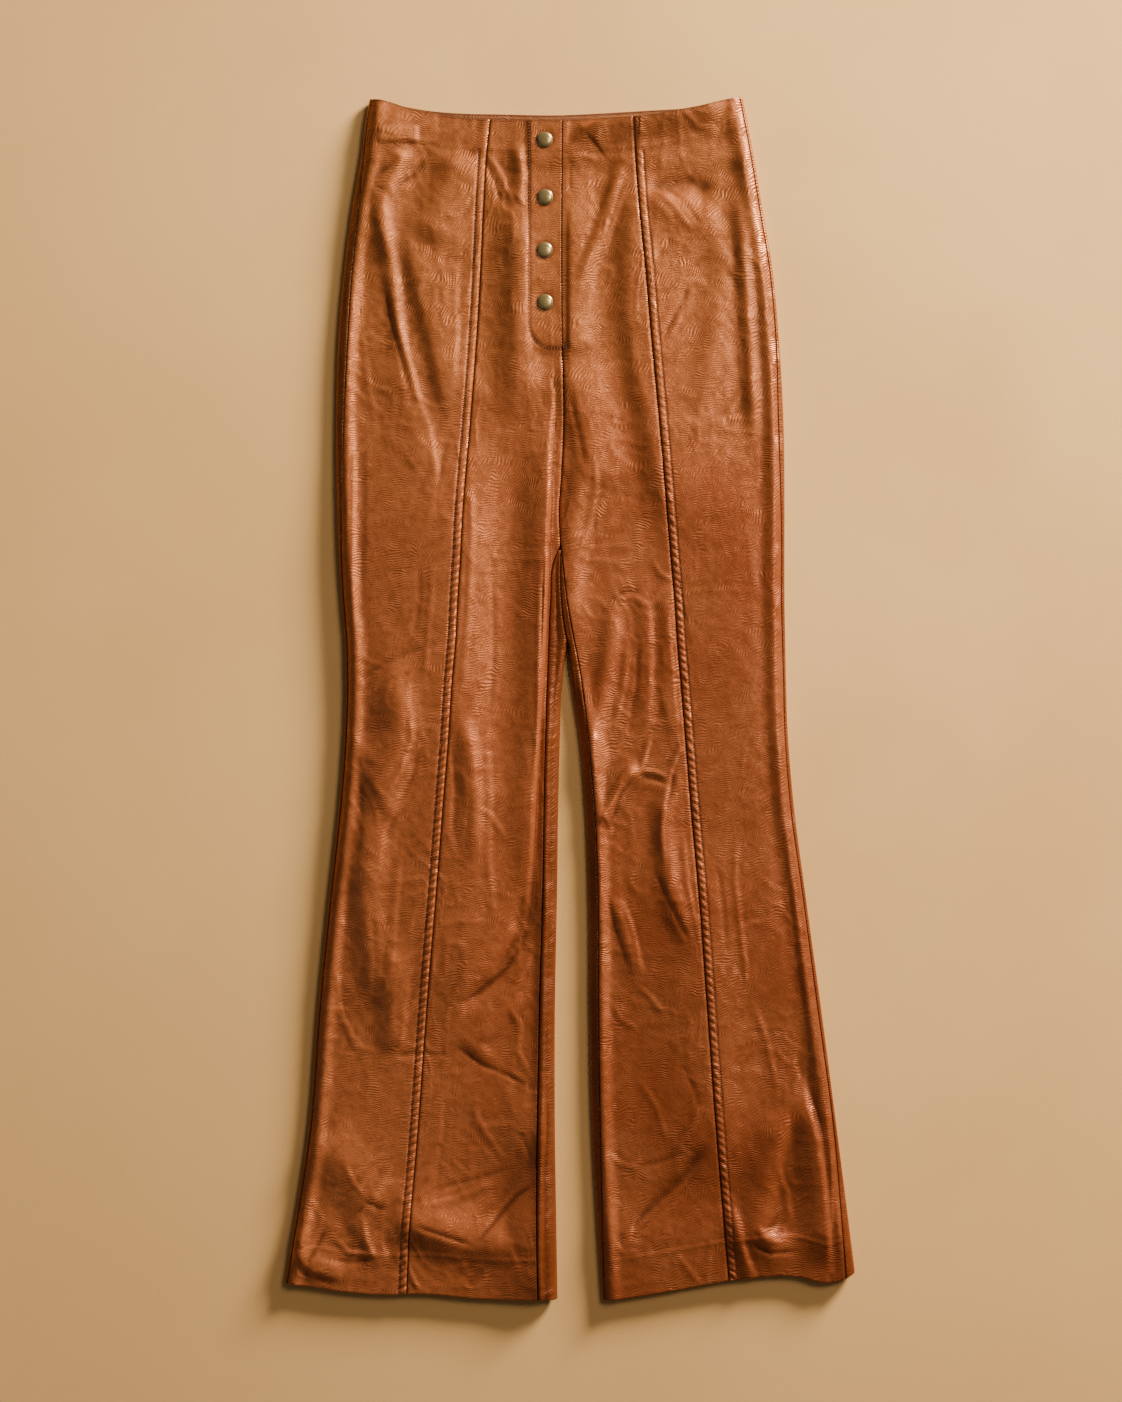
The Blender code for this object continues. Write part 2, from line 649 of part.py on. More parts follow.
def back_panel(name, outer_table_here, outer_inward, inseam_column, inner_column):
    """A back panel: one wall that wraps both edges of its leg, open along the centre back seam."""
    points = []
    normals = []
    for y in ROWS:
        row, row_normals = back_row(y, outer_table_here, outer_inward, inseam_column, inner_column)
        points.append(row)
        normals.append(row_normals)
    columns = len(points[0])
    cells = np.ones((len(ROWS) - 1, columns - 1), bool)
    strip_start = columns - 1 - len(STRIP_SHARES)
    for i, y in enumerate(ROWS[:-1]):
        if y < FORK_Y:
            cells[i, strip_start - 1] = False
        if y < STRIP_TOP_Y:
            cells[i, strip_start:] = False
    outside, inside = thicknesses(ROWS)
    return wall(name, points, normals, outside, inside, cells)


def back_left():
    """Back panel at the left."""
    return back_panel("back_left", LEFT_OUTER, 1, 1, 2)


def back_right():
    """Back panel at the right."""
    return back_panel("back_right", RIGHT_OUTER, -1, 4, 3)


def back_waist_facing():
    """Facing on the inside of the back waist; its upper edge shows above the front."""
    points = []
    normals = []
    middle = LEATHER + SEAM_GAP + FACING_THICKNESS / 2
    for depth in FACING_ROW_SHARES:
        row = []
        for share in FACING_SHARES:
            x = FACING_LEFT_X + (FACING_RIGHT_X - FACING_LEFT_X) * share
            y = along(WAIST_EDGE, 1, x) + FACING_FROM_EDGE + depth * FACING_DEPTH_UNITS
            row.append(np.array([float(frame_x(x)), float(frame_y(y)), middle]))
        points.append(row)
        normals.append([np.array([0.0, 0.0, 1.0]) for _ in FACING_SHARES])
    cells = np.ones((len(FACING_ROW_SHARES) - 1, len(FACING_SHARES) - 1), bool)
    half = [FACING_THICKNESS / 2 for _ in FACING_ROW_SHARES]
    return wall("back_waist_facing", points, normals, half, half, cells)


def fly_underlap():
    """Strip under the closed fly, made from the front's points moved down."""
    points = []
    normals = []
    drop = LEATHER / 2 + UNDERLAP_CLEARANCE + UNDERLAP_THICKNESS / 2
    rows = [y for y in ROWS if y < FLY_BOTTOM_Y] + [UNDERLAP_BOTTOM_Y]
    for y in rows:
        row = []
        row_normals = []
        for share in UNDERLAP_SHARES:
            x = UNDERLAP_LEFT_X + (UNDERLAP_RIGHT_X - UNDERLAP_LEFT_X) * share
            y_here = row_y(y, x, 2) + (UNDERLAP_FROM_WAIST if y == rows[0] else 0.0)
            place, outward = front_points(x, y_here, 0)
            row.append(place - outward * drop)
            row_normals.append(outward)
        points.append(row)
        normals.append(row_normals)
    cells = np.ones((len(rows) - 1, len(UNDERLAP_SHARES) - 1), bool)
    half = [UNDERLAP_THICKNESS / 2 for _ in rows]
    return wall("fly_underlap", points, normals, half, half, cells)


def cap_profile():
    """Half section of a cap, from the middle of its top to its rim and base."""
    rise = CAP_HEIGHT - CAP_RIM_HEIGHT
    points = []
    for angle in (90.0, 72.0, 52.0, 32.0, 14.0):
        reach = (CAP_RADIUS - CAP_EDGE_ROUNDING) * math.cos(math.radians(angle))
        points.append((reach, CAP_RIM_HEIGHT + rise * math.sin(math.radians(angle))))
    points.append((CAP_RADIUS, CAP_RIM_HEIGHT * 0.7))
    points.append((CAP_RADIUS - CAP_EDGE_ROUNDING, 0.0))
    points.append((0.0, 0.0))
    return points


def snap_cap(number, x, y):
    """Domed cap of a snap, square to the leather at its place on the fly."""

    def over_facing(at_x, at_y):
        return height(at_x, at_y) + placket_step(at_x, at_y)

    name = f"snap_cap_{number}"
    mesh = bmesh.new()
    profile = [mesh.verts.new((radius * MM, 0.0, rise * MM)) for radius, rise in cap_profile()]
    edges = [mesh.edges.new(pair) for pair in zip(profile, profile[1:])]
    bmesh.ops.spin(
        mesh,
        geom=profile + edges,
        cent=(0.0, 0.0, 0.0),
        axis=(0.0, 0.0, 1.0),
        angle=2 * math.pi,
        steps=CAP_SEGMENTS,
        use_merge=True,
    )
    bmesh.ops.remove_doubles(mesh, verts=mesh.verts, dist=1e-6)
    bmesh.ops.recalc_face_normals(mesh, faces=mesh.faces)
    data = bpy.data.meshes.new(name)
    mesh.to_mesh(data)
    mesh.free()
    place, outward = front_points(x, y, 0, over_facing)
    base = place + outward * (LEATHER / 2 + CAP_CLEARANCE)
    found = bpy.data.objects.new(name, data)
    found.location = base * MM
    found.rotation_mode = "XYZ"
    found.rotation_euler = (-math.asin(outward[1]), math.atan2(outward[0], outward[2]), 0.0)
    return found


def plain_material(name, colour, roughness, metallic=0.0):
    """Principled material with one colour."""
    material = bpy.data.materials.new(name)
    material.use_nodes = True
    shader = material.node_tree.nodes["Principled BSDF"]
    shader.inputs["Base Color"].default_value = colour
    shader.inputs["Roughness"].default_value = roughness
    shader.inputs["Metallic"].default_value = metallic
    return material


def leather(name):
    """Glossy brown leather."""
    return plain_material(name, LEATHER_COLOUR, 0.35)


def leather_inside(name):
    """The leather used inside, at the facing and the underlap."""
    return plain_material(name, LEATHER_INSIDE_COLOUR, 0.45)


def aged_brass(name):
    """Dark brass of the caps."""
    return plain_material(name, BRASS_COLOUR, 0.3, 1.0)


def clear_scene():
    """Removes what the new scene starts with."""
    for found in list(bpy.data.objects):
        bpy.data.objects.remove(found, do_unlink=True)


def add(found, material, collection):
    """Gives a solid its material and puts it in the trousers' collection."""
    found.data.materials.append(material)
    collection.objects.link(found)


def main():
    """Builds every piece of the trousers."""
    clear_scene()
    trousers = bpy.data.collections.new("leather_trousers")
    bpy.context.scene.collection.children.link(trousers)
    panels = (
        front_side_left,
        front_centre_left,
        front_centre_right,
        front_side_right,
        back_left,
        back_right,
    )
    for make in panels:
        add(make(), leather(f"{make.__name__}_leather"), trousers)
    for make in (back_waist_facing, fly_underlap):
        add(make(), leather_inside(f"{make.__name__}_leather"), trousers)
    for number, (x, y) in enumerate(CAP_PLACES, start=1):
        add(snap_cap(number, x, y), aged_brass(f"snap_cap_{number}_brass"), trousers)


main()
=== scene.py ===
"""Looks of the leather trousers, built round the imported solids.

Every panel's solid is replaced by a finer shell of the same form, with the folds,
creases, seam relief and grain of the leather, and the sewing and snap caps are added.
"""

import enum
import json
import logging
import math
from collections.abc import Callable, Sequence
from dataclasses import dataclass, field

import bmesh
import bpy
import numpy as np
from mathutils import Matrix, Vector

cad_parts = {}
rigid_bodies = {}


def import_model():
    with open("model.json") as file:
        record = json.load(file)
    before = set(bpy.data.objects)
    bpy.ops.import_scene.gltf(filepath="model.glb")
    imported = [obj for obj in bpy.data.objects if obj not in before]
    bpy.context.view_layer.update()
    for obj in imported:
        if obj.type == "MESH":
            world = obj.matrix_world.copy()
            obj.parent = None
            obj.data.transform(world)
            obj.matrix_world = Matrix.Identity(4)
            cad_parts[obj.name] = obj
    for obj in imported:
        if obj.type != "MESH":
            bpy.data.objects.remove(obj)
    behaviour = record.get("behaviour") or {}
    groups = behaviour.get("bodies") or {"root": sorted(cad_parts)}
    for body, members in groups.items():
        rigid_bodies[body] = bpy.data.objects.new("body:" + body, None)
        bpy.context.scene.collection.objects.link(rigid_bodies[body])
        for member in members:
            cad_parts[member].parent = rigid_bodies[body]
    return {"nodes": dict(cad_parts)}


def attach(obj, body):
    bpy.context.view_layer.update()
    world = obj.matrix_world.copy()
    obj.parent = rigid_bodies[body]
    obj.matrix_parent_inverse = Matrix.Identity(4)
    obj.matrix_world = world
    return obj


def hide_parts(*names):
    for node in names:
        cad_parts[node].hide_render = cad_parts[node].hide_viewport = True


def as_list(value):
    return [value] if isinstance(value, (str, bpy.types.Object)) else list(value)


log = logging.getLogger("trousers")

BACKS = ("back_left", "back_right")

Array = np.ndarray
Path = tuple[tuple[float, float], ...]
Surface = Callable[[Array, Array], Array]
Output = bpy.types.NodeSocket
Cut = tuple[tuple[float, float], float]

# The drawing: x to the right, y down, in units of UNIT_MM, with the frame's origin at its datum.
UNIT_MM = 0.875
DATUM_X = 570.0
DATUM_Y = 699.25
MM = 0.001

# Leather and how it lies, in millimetres.
LEATHER = 1.4
SEAM_GAP = 0.3
HEM_TURNING_EXTRA = 0.9
HEM_TURNING_UNITS = 40.0
FACING_THICKNESS = 0.9
FACING_DEPTH_UNITS = 42.0
UNDERLAP_THICKNESS = 1.0
UNDERLAP_CLEARANCE = 0.8

# Heights of the middle of the front leather, in millimetres.
FRONT_LOWEST = 2.6
FRONT_LOFT = 4.6
WAIST_LIFT = 1.1
HEM_LIFT = 1.9
FLY_LIFT = 1.6
PLACKET_STEP = 0.8
FLY_CALM = 0.65

# The rounded fold along each edge of a leg, in millimetres.
EDGE_MID_HEIGHT = 5.0
EDGE_TOP_REACH = 10.0
EDGE_UNDER_REACH = 7.0
EDGE_BULGE = 3.0
EDGE_BULGE_CENTRE = 9.0
EDGE_BULGE_WIDTH = 6.5
BULGE_LOSS_AT_OPENINGS = 0.45
INNER_REACH_AT_FORK = 3.0
INNER_REACH_FULL_Y = 740.0

# Places along the garment, in drawing units.
WAIST_Y = 121.0
WAIST_BLEND_END = 225.0
WAIST_SEAM_Y = 150.0
HEM_Y = 1290.0
HEM_BLEND_START = 1175.0
FRONT_CROTCH_Y = 546.0
STRIP_TOP_Y = 550.0
FORK_Y = 645.0
FLY_BOTTOM_Y = 349.0
FLY_STITCH_X = 529.0
UNDERLAP_LEFT_X = 532.0
UNDERLAP_RIGHT_X = 563.5
UNDERLAP_BOTTOM_Y = 343.0
PRINCESS_STITCH_MM = 6.5
FACING_LINE_UNITS = 30.0
SEAM_MARGIN_UNITS = 6.0
FLY_TACK = (564.0, 347.0)
TACK_STITCH_START = (562.6, 344.6)
TACK_STITCH_STEP = (0.75, 4.6)

# Where low relief begins, is full, is still full and ends, in drawing units.
PRESSED_TAB_X = (378, 381, 416, 419)
PRESSED_TAB_Y = (126, 129, 141, 144)
PRESSED_PATCH_X = (374, 379, 434, 440)
PRESSED_PATCH_Y = (104, 112, 142, 145)
CALM_PATCH_X = (372, 380, 432, 442)
FLY_INNER_LINE_X = 551
FLY_INNER_LINE_Y = (316, 322, 344, 350)
PUCKERS_GROW_Y = (430, 520)

# Grids of the leather, in millimetres.
LINES_NEAR_EDGE = (0.0, 0.3, 0.7, 1.3, 2.1, 3.0, 3.9, 4.7, 5.4, 6.1, 6.8, 7.5, 8.2, 9.0, 9.8)
CUT_ROUNDING = 0.9
HEM_ROUNDING = 1.4
FAR_FROM_CUT = 9.0
NO_EDGE_NEAR = 1000.0

# Relief of seams and sewing on the front, in millimetres: depth or height, then width.
PRINCESS_GROOVE = (0.65, 1.3)
PRINCESS_ALLOWANCE = 0.45
PRINCESS_STITCH_GROOVE = (0.62, 1.0)
PUCKER_PITCH_MM = 6.8
CENTRE_GROOVE = (0.7, 1.3)
FLY_STITCH_GROOVE = (0.50, 1.1)
FLY_TACK_HOLLOW = (0.8, 3.6)
FLY_SHOULDER_WEST = 1.1
FLY_SHOULDER_EAST = 1.2
CAP_HOLLOW = (0.40, 9.0)
HEM_RIDGE = (0.42, 1.4)
WAIST_RIDGE = (0.16, 1.4)
WAIST_PLATEAU = 0.20
PRESSED_TAB_HEIGHT = 1.0
PRESSED_PATCH_HEIGHT = 0.45

# How strongly shade is painted into the leather's colour along its seams, stitches, caps, hollows and turned
# edges, from 0 to 1.
SHADE_SEAM = 0.85
SHADE_PRINCESS = 0.45
SHADE_FLY = 0.7
SHADE_CAP = 0.5
SHADE_HOLLOW = 0.75
SHADE_TURNED = 0.30
SHADE_BACK_EDGE = 0.75

LEFT_OUTER = (
    # y, outer, side, princess
    (98, 370, 373, 491.5),
    (121, 365.5, 368.5, 490),
    (150, 362, 365, 487),
    (215, 351, 359, 483),
    (260, 345.3, 353.5, 481),
    (340, 338.2, 348, 476.5),
    (420, 336, 344, 470.5),
    (512, 337, 342, 463),
    (560, 338.7, 342.5, 460.5),
    (600, 341.3, 344.5, 458),
    (640, 344.6, 347.7, 456),
    (680, 345.5, 348.6, 452.5),
    (735, 344, 347.1, 449),
    (792, 340, 343.1, 444.5),
    (900, 328.6, 331.7, 436),
    (1007, 318, 321.1, 427),
    (1130, 308.3, 311.4, 418),
    (1235, 292.5, 295.6, 409.5),
    (1300, 282, 285.1, 406.5),
)
RIGHT_OUTER = (
    # y, outer, side, princess
    (98, 742.5, 739.4, 630.5),
    (121, 747, 743.9, 633),
    (150, 752.5, 749.4, 635),
    (215, 763.3, 760.2, 639.7),
    (260, 771.2, 767.8, 644.5),
    (340, 779, 775.5, 651.5),
    (420, 783.5, 777.8, 659),
    (512, 784.6, 780.5, 667),
    (560, 784.5, 781, 671),
    (600, 784.6, 780.8, 674.5),
    (640, 785.3, 781.8, 677),
    (680, 786, 782.9, 680.5),
    (735, 788, 784.3, 685),
    (792, 792.5, 788.3, 689.5),
    (900, 806.3, 802.8, 699),
    (1007, 821, 817, 707),
    (1130, 837, 833.3, 716),
    (1235, 850.3, 842, 725),
    (1300, 858.5, 846.5, 730.5),
)
CENTRE_FRONT = (
    # y, x
    (98, 562),
    (340, 562),
    (420, 563.8),
    (475, 561.5),
    (512, 559.2),
    (546, 560.5),
)
CENTRE_BACK_SHOWN = (
    # y, x
    (546, 560.7),
    (600, 561.5),
    (622, 563.8),
    (645, 568),
)
CENTRE_BACK_UNDER = (
    # y, x
    (98, 562),
    (560, 562),
    (622, 564.5),
    (645, 568),
)
INNER_EDGES = (
    # y, left inseam, left inner, right inner, right inseam
    (546, 560.2, 568, 568, 561),
    (560, 554, 568, 568, 562.5),
    (600, 550.3, 568, 568, 567),
    (645, 548.3, 567.8, 568.2, 575),
    (660, 547.8, 565, 569.2, 578),
    (690, 546.8, 561.8, 573, 582.8),
    (735, 545.5, 560, 579.8, 588),
    (792, 544, 558.5, 585, 593.5),
    (900, 542.3, 557, 589.5, 598),
    (1007, 539.2, 555, 590.2, 598.4),
    (1130, 536.9, 555, 592.6, 600.3),
    (1235, 536.4, 556.5, 598.5, 603),
    (1300, 537.4, 557.5, 602.8, 604.8),
)
WAIST_EDGE = (
    # x, back edge, front edge
    (365, 99, 99),
    (385, 102.5, 102.5),
    (400, 105, 107),
    (430, 110, 113.5),
    (455, 112.2, 118),
    (500, 113.4, 120.5),
    (560, 114.2, 121),
    (600, 112.5, 120),
    (650, 109.6, 116.5),
    (680, 107.8, 111.5),
    (705, 106, 107),
    (725, 102, 102),
    (746, 97.5, 97.5),
)
HEM_EDGE = (
    # x, hem
    (280, 1282.5),
    (300, 1284.5),
    (350, 1291.5),
    (385, 1294),
    (420, 1293),
    (480, 1298),
    (520, 1299),
    (558, 1299),
    (600, 1300),
    (650, 1294),
    (700, 1285),
    (745, 1278),
    (780, 1275),
    (800, 1276),
    (826, 1282),
    (845, 1278),
    (860, 1271),
)
CAP_PLACES = (
    # x, y
    (544.5, 141.0),
    (545.0, 198.0),
    (544.5, 251.0),
    (545.0, 303.0),
)
FLY_STITCHES = (
    # x, y down to the curved foot of the fly
    (529.0, 124.0),
    (529.0, 200.0),
    (529.0, 325.0),
    (530.2, 332.0),
    (532.6, 338.0),
    (536.5, 343.0),
    (541.5, 346.6),
    (548.0, 348.8),
    (560.5, 349.2),
)

# Folds that the solids have too. Each is a crest, or a hollow where its rise is below 0,
# walked downwards or to the right, in drawing units.
FOLDS = (
    # rise, width of its far flank, width of the flank towards the light (mm), its line
    (3.0, 16.0, 26.0, ((462, 148), (450, 185), (436, 215), (420, 246))),
    (1.5, 7.0, 6.0, ((404, 150), (396, 172), (384, 196))),
    (2.8, 15.0, 22.0, ((384, 96), (386, 130), (384, 170), (380, 215), (376, 268))),
    (1.8, 7.0, 6.0, ((380, 180), (383, 215), (389, 250), (395, 296), (401, 345), (405, 374))),
    (1.6, 20.0, 13.0, ((400, 346), (408, 392), (418, 440), (430, 486))),
    (2.0, 7.5, 26.0, ((410, 232), (421, 292), (434, 342), (443, 386), (452, 428))),
    (3.1, 15.0, 18.0, ((501, 186), (514, 230), (519, 262), (516, 305), (517, 345), (519, 385), (510, 430))),
    (1.5, 6.5, 5.0, ((517, 140), (521, 174), (519, 208))),
    (3.2, 14.0, 60.0, ((638, 150), (634, 230), (632, 312), (640, 370), (652, 430), (666, 500), (676, 560))),
    (1.8, 5.0, 6.0, ((622, 162), (609, 206), (597, 243), (578, 286))),
    (1.6, 5.0, 24.0, ((571, 196), (569, 260), (569, 340), (573, 380))),
    (5.0, 18.0, 6.0, ((571, 148), (586, 131), (606, 121), (634, 116), (668, 111), (705, 105), (742, 100))),
    (-1.9, 9.0, 8.0, ((646, 196), (662, 186), (690, 184), (716, 194))),
    (1.5, 20.0, 9.0, ((646, 214), (662, 202), (682, 206), (700, 218), (724, 212))),
    (1.4, 12.0, 24.0, ((719, 216), (723, 262), (720, 310), (711, 362), (700, 416))),
    (2.4, 6.0, 8.0, ((736, 180), (743, 240), (747, 300), (751, 380), (755, 450))),
    (3.2, 60.0, 27.0, ((744, 400), (748, 520), (750, 640), (756, 740), (760, 840), (770, 930), (784, 1080))),
    (3.0, 15.0, 32.0, ((566, 352), (577, 400), (589, 446), (594, 500))),
    (2.0, 10.0, 12.0, ((582, 452), (572, 530), (570, 590), (574, 652))),
    (5.2, 21.0, 2.4, ((552, 392), (550, 430), (548, 500), (546, 560), (543, 630), (539, 710), (534, 780),
                      (530, 860), (523, 930))),
    (6.4, 90.0, 42.0, ((456, 400), (452, 560), (452, 640), (458, 720), (468, 800), (470, 870), (462, 940),
                       (448, 1070))),
    (1.6, 8.0, 8.0, ((462, 712), (472, 760), (476, 820), (472, 866))),
    (-2.4, 7.0, 9.0, ((526, 890), (519, 935), (498, 975), (458, 1012))),
    (3.4, 18.0, 15.0, ((392, 650), (400, 728), (393, 762), (379, 794), (372, 830), (370, 900))),
    (1.4, 8.0, 20.0, ((362, 730), (369, 768), (388, 804), (404, 822))),
    (2.6, 12.0, 17.0, ((364, 842), (366, 900), (372, 950), (380, 1012))),
    (2.0, 9.0, 12.0, ((398, 940), (394, 1005), (390, 1060))),
    (1.2, 8.0, 8.0, ((532, 986), (500, 1016), (472, 1042), (500, 1068))),
    (4.2, 15.0, 24.0, ((392, 1208), (418, 1224), (448, 1236), (484, 1243), (516, 1236))),
    (-2.0, 14.0, 14.0, ((458, 1264), (484, 1228), (506, 1198), (526, 1170), (546, 1140))),
    (4.2, 27.0, 3.0, ((543, 1080), (540, 1180), (539, 1240), (540, 1320))),
    (2.8, 18.0, 24.0, ((312, 1134), (340, 1160), (362, 1194), (384, 1216))),
    (2.2, 6.0, 14.0, ((284, 1224), (296, 1250), (314, 1268), (348, 1276))),
    (1.3, 7.0, 10.0, ((352, 1214), (368, 1240), (380, 1268))),
    (1.8, 8.0, 10.0, ((616, 590), (609, 650), (601, 700), (594, 745), (592, 790))),
    (0.8, 8.0, 6.0, ((645, 580), (647, 650), (648, 700), (643, 744))),
    (0.8, 6.0, 7.0, ((665, 570), (667, 650), (668, 700), (674, 752))),
    (2.4, 9.0, 6.0, ((642, 762), (620, 788), (600, 828))),
    (2.1, 9.0, 10.0, ((668, 780), (663, 826), (668, 876), (688, 944))),
    (3.4, 50.0, 32.0, ((692, 820), (702, 960), (710, 1040), (722, 1220))),
    (1.2, 7.0, 6.0, ((612, 890), (624, 930), (638, 978))),
    (4.6, 18.0, 4.0, ((800, 1080), (816, 1140), (824, 1200), (828, 1270))),
    (4.0, 18.0, 10.0, ((784, 1100), (770, 1180), (758, 1228), (772, 1243), (800, 1243))),
    (-1.8, 8.0, 7.0, ((708, 1140), (684, 1176), (650, 1208), (624, 1234))),
    (1.8, 7.0, 5.0, ((730, 1200), (740, 1244), (752, 1286))),
)
FOLD_END_FADE = 0.22
FOLD_AT_ITS_ENDS = 0.15
FOLD_SCALE = 1.35

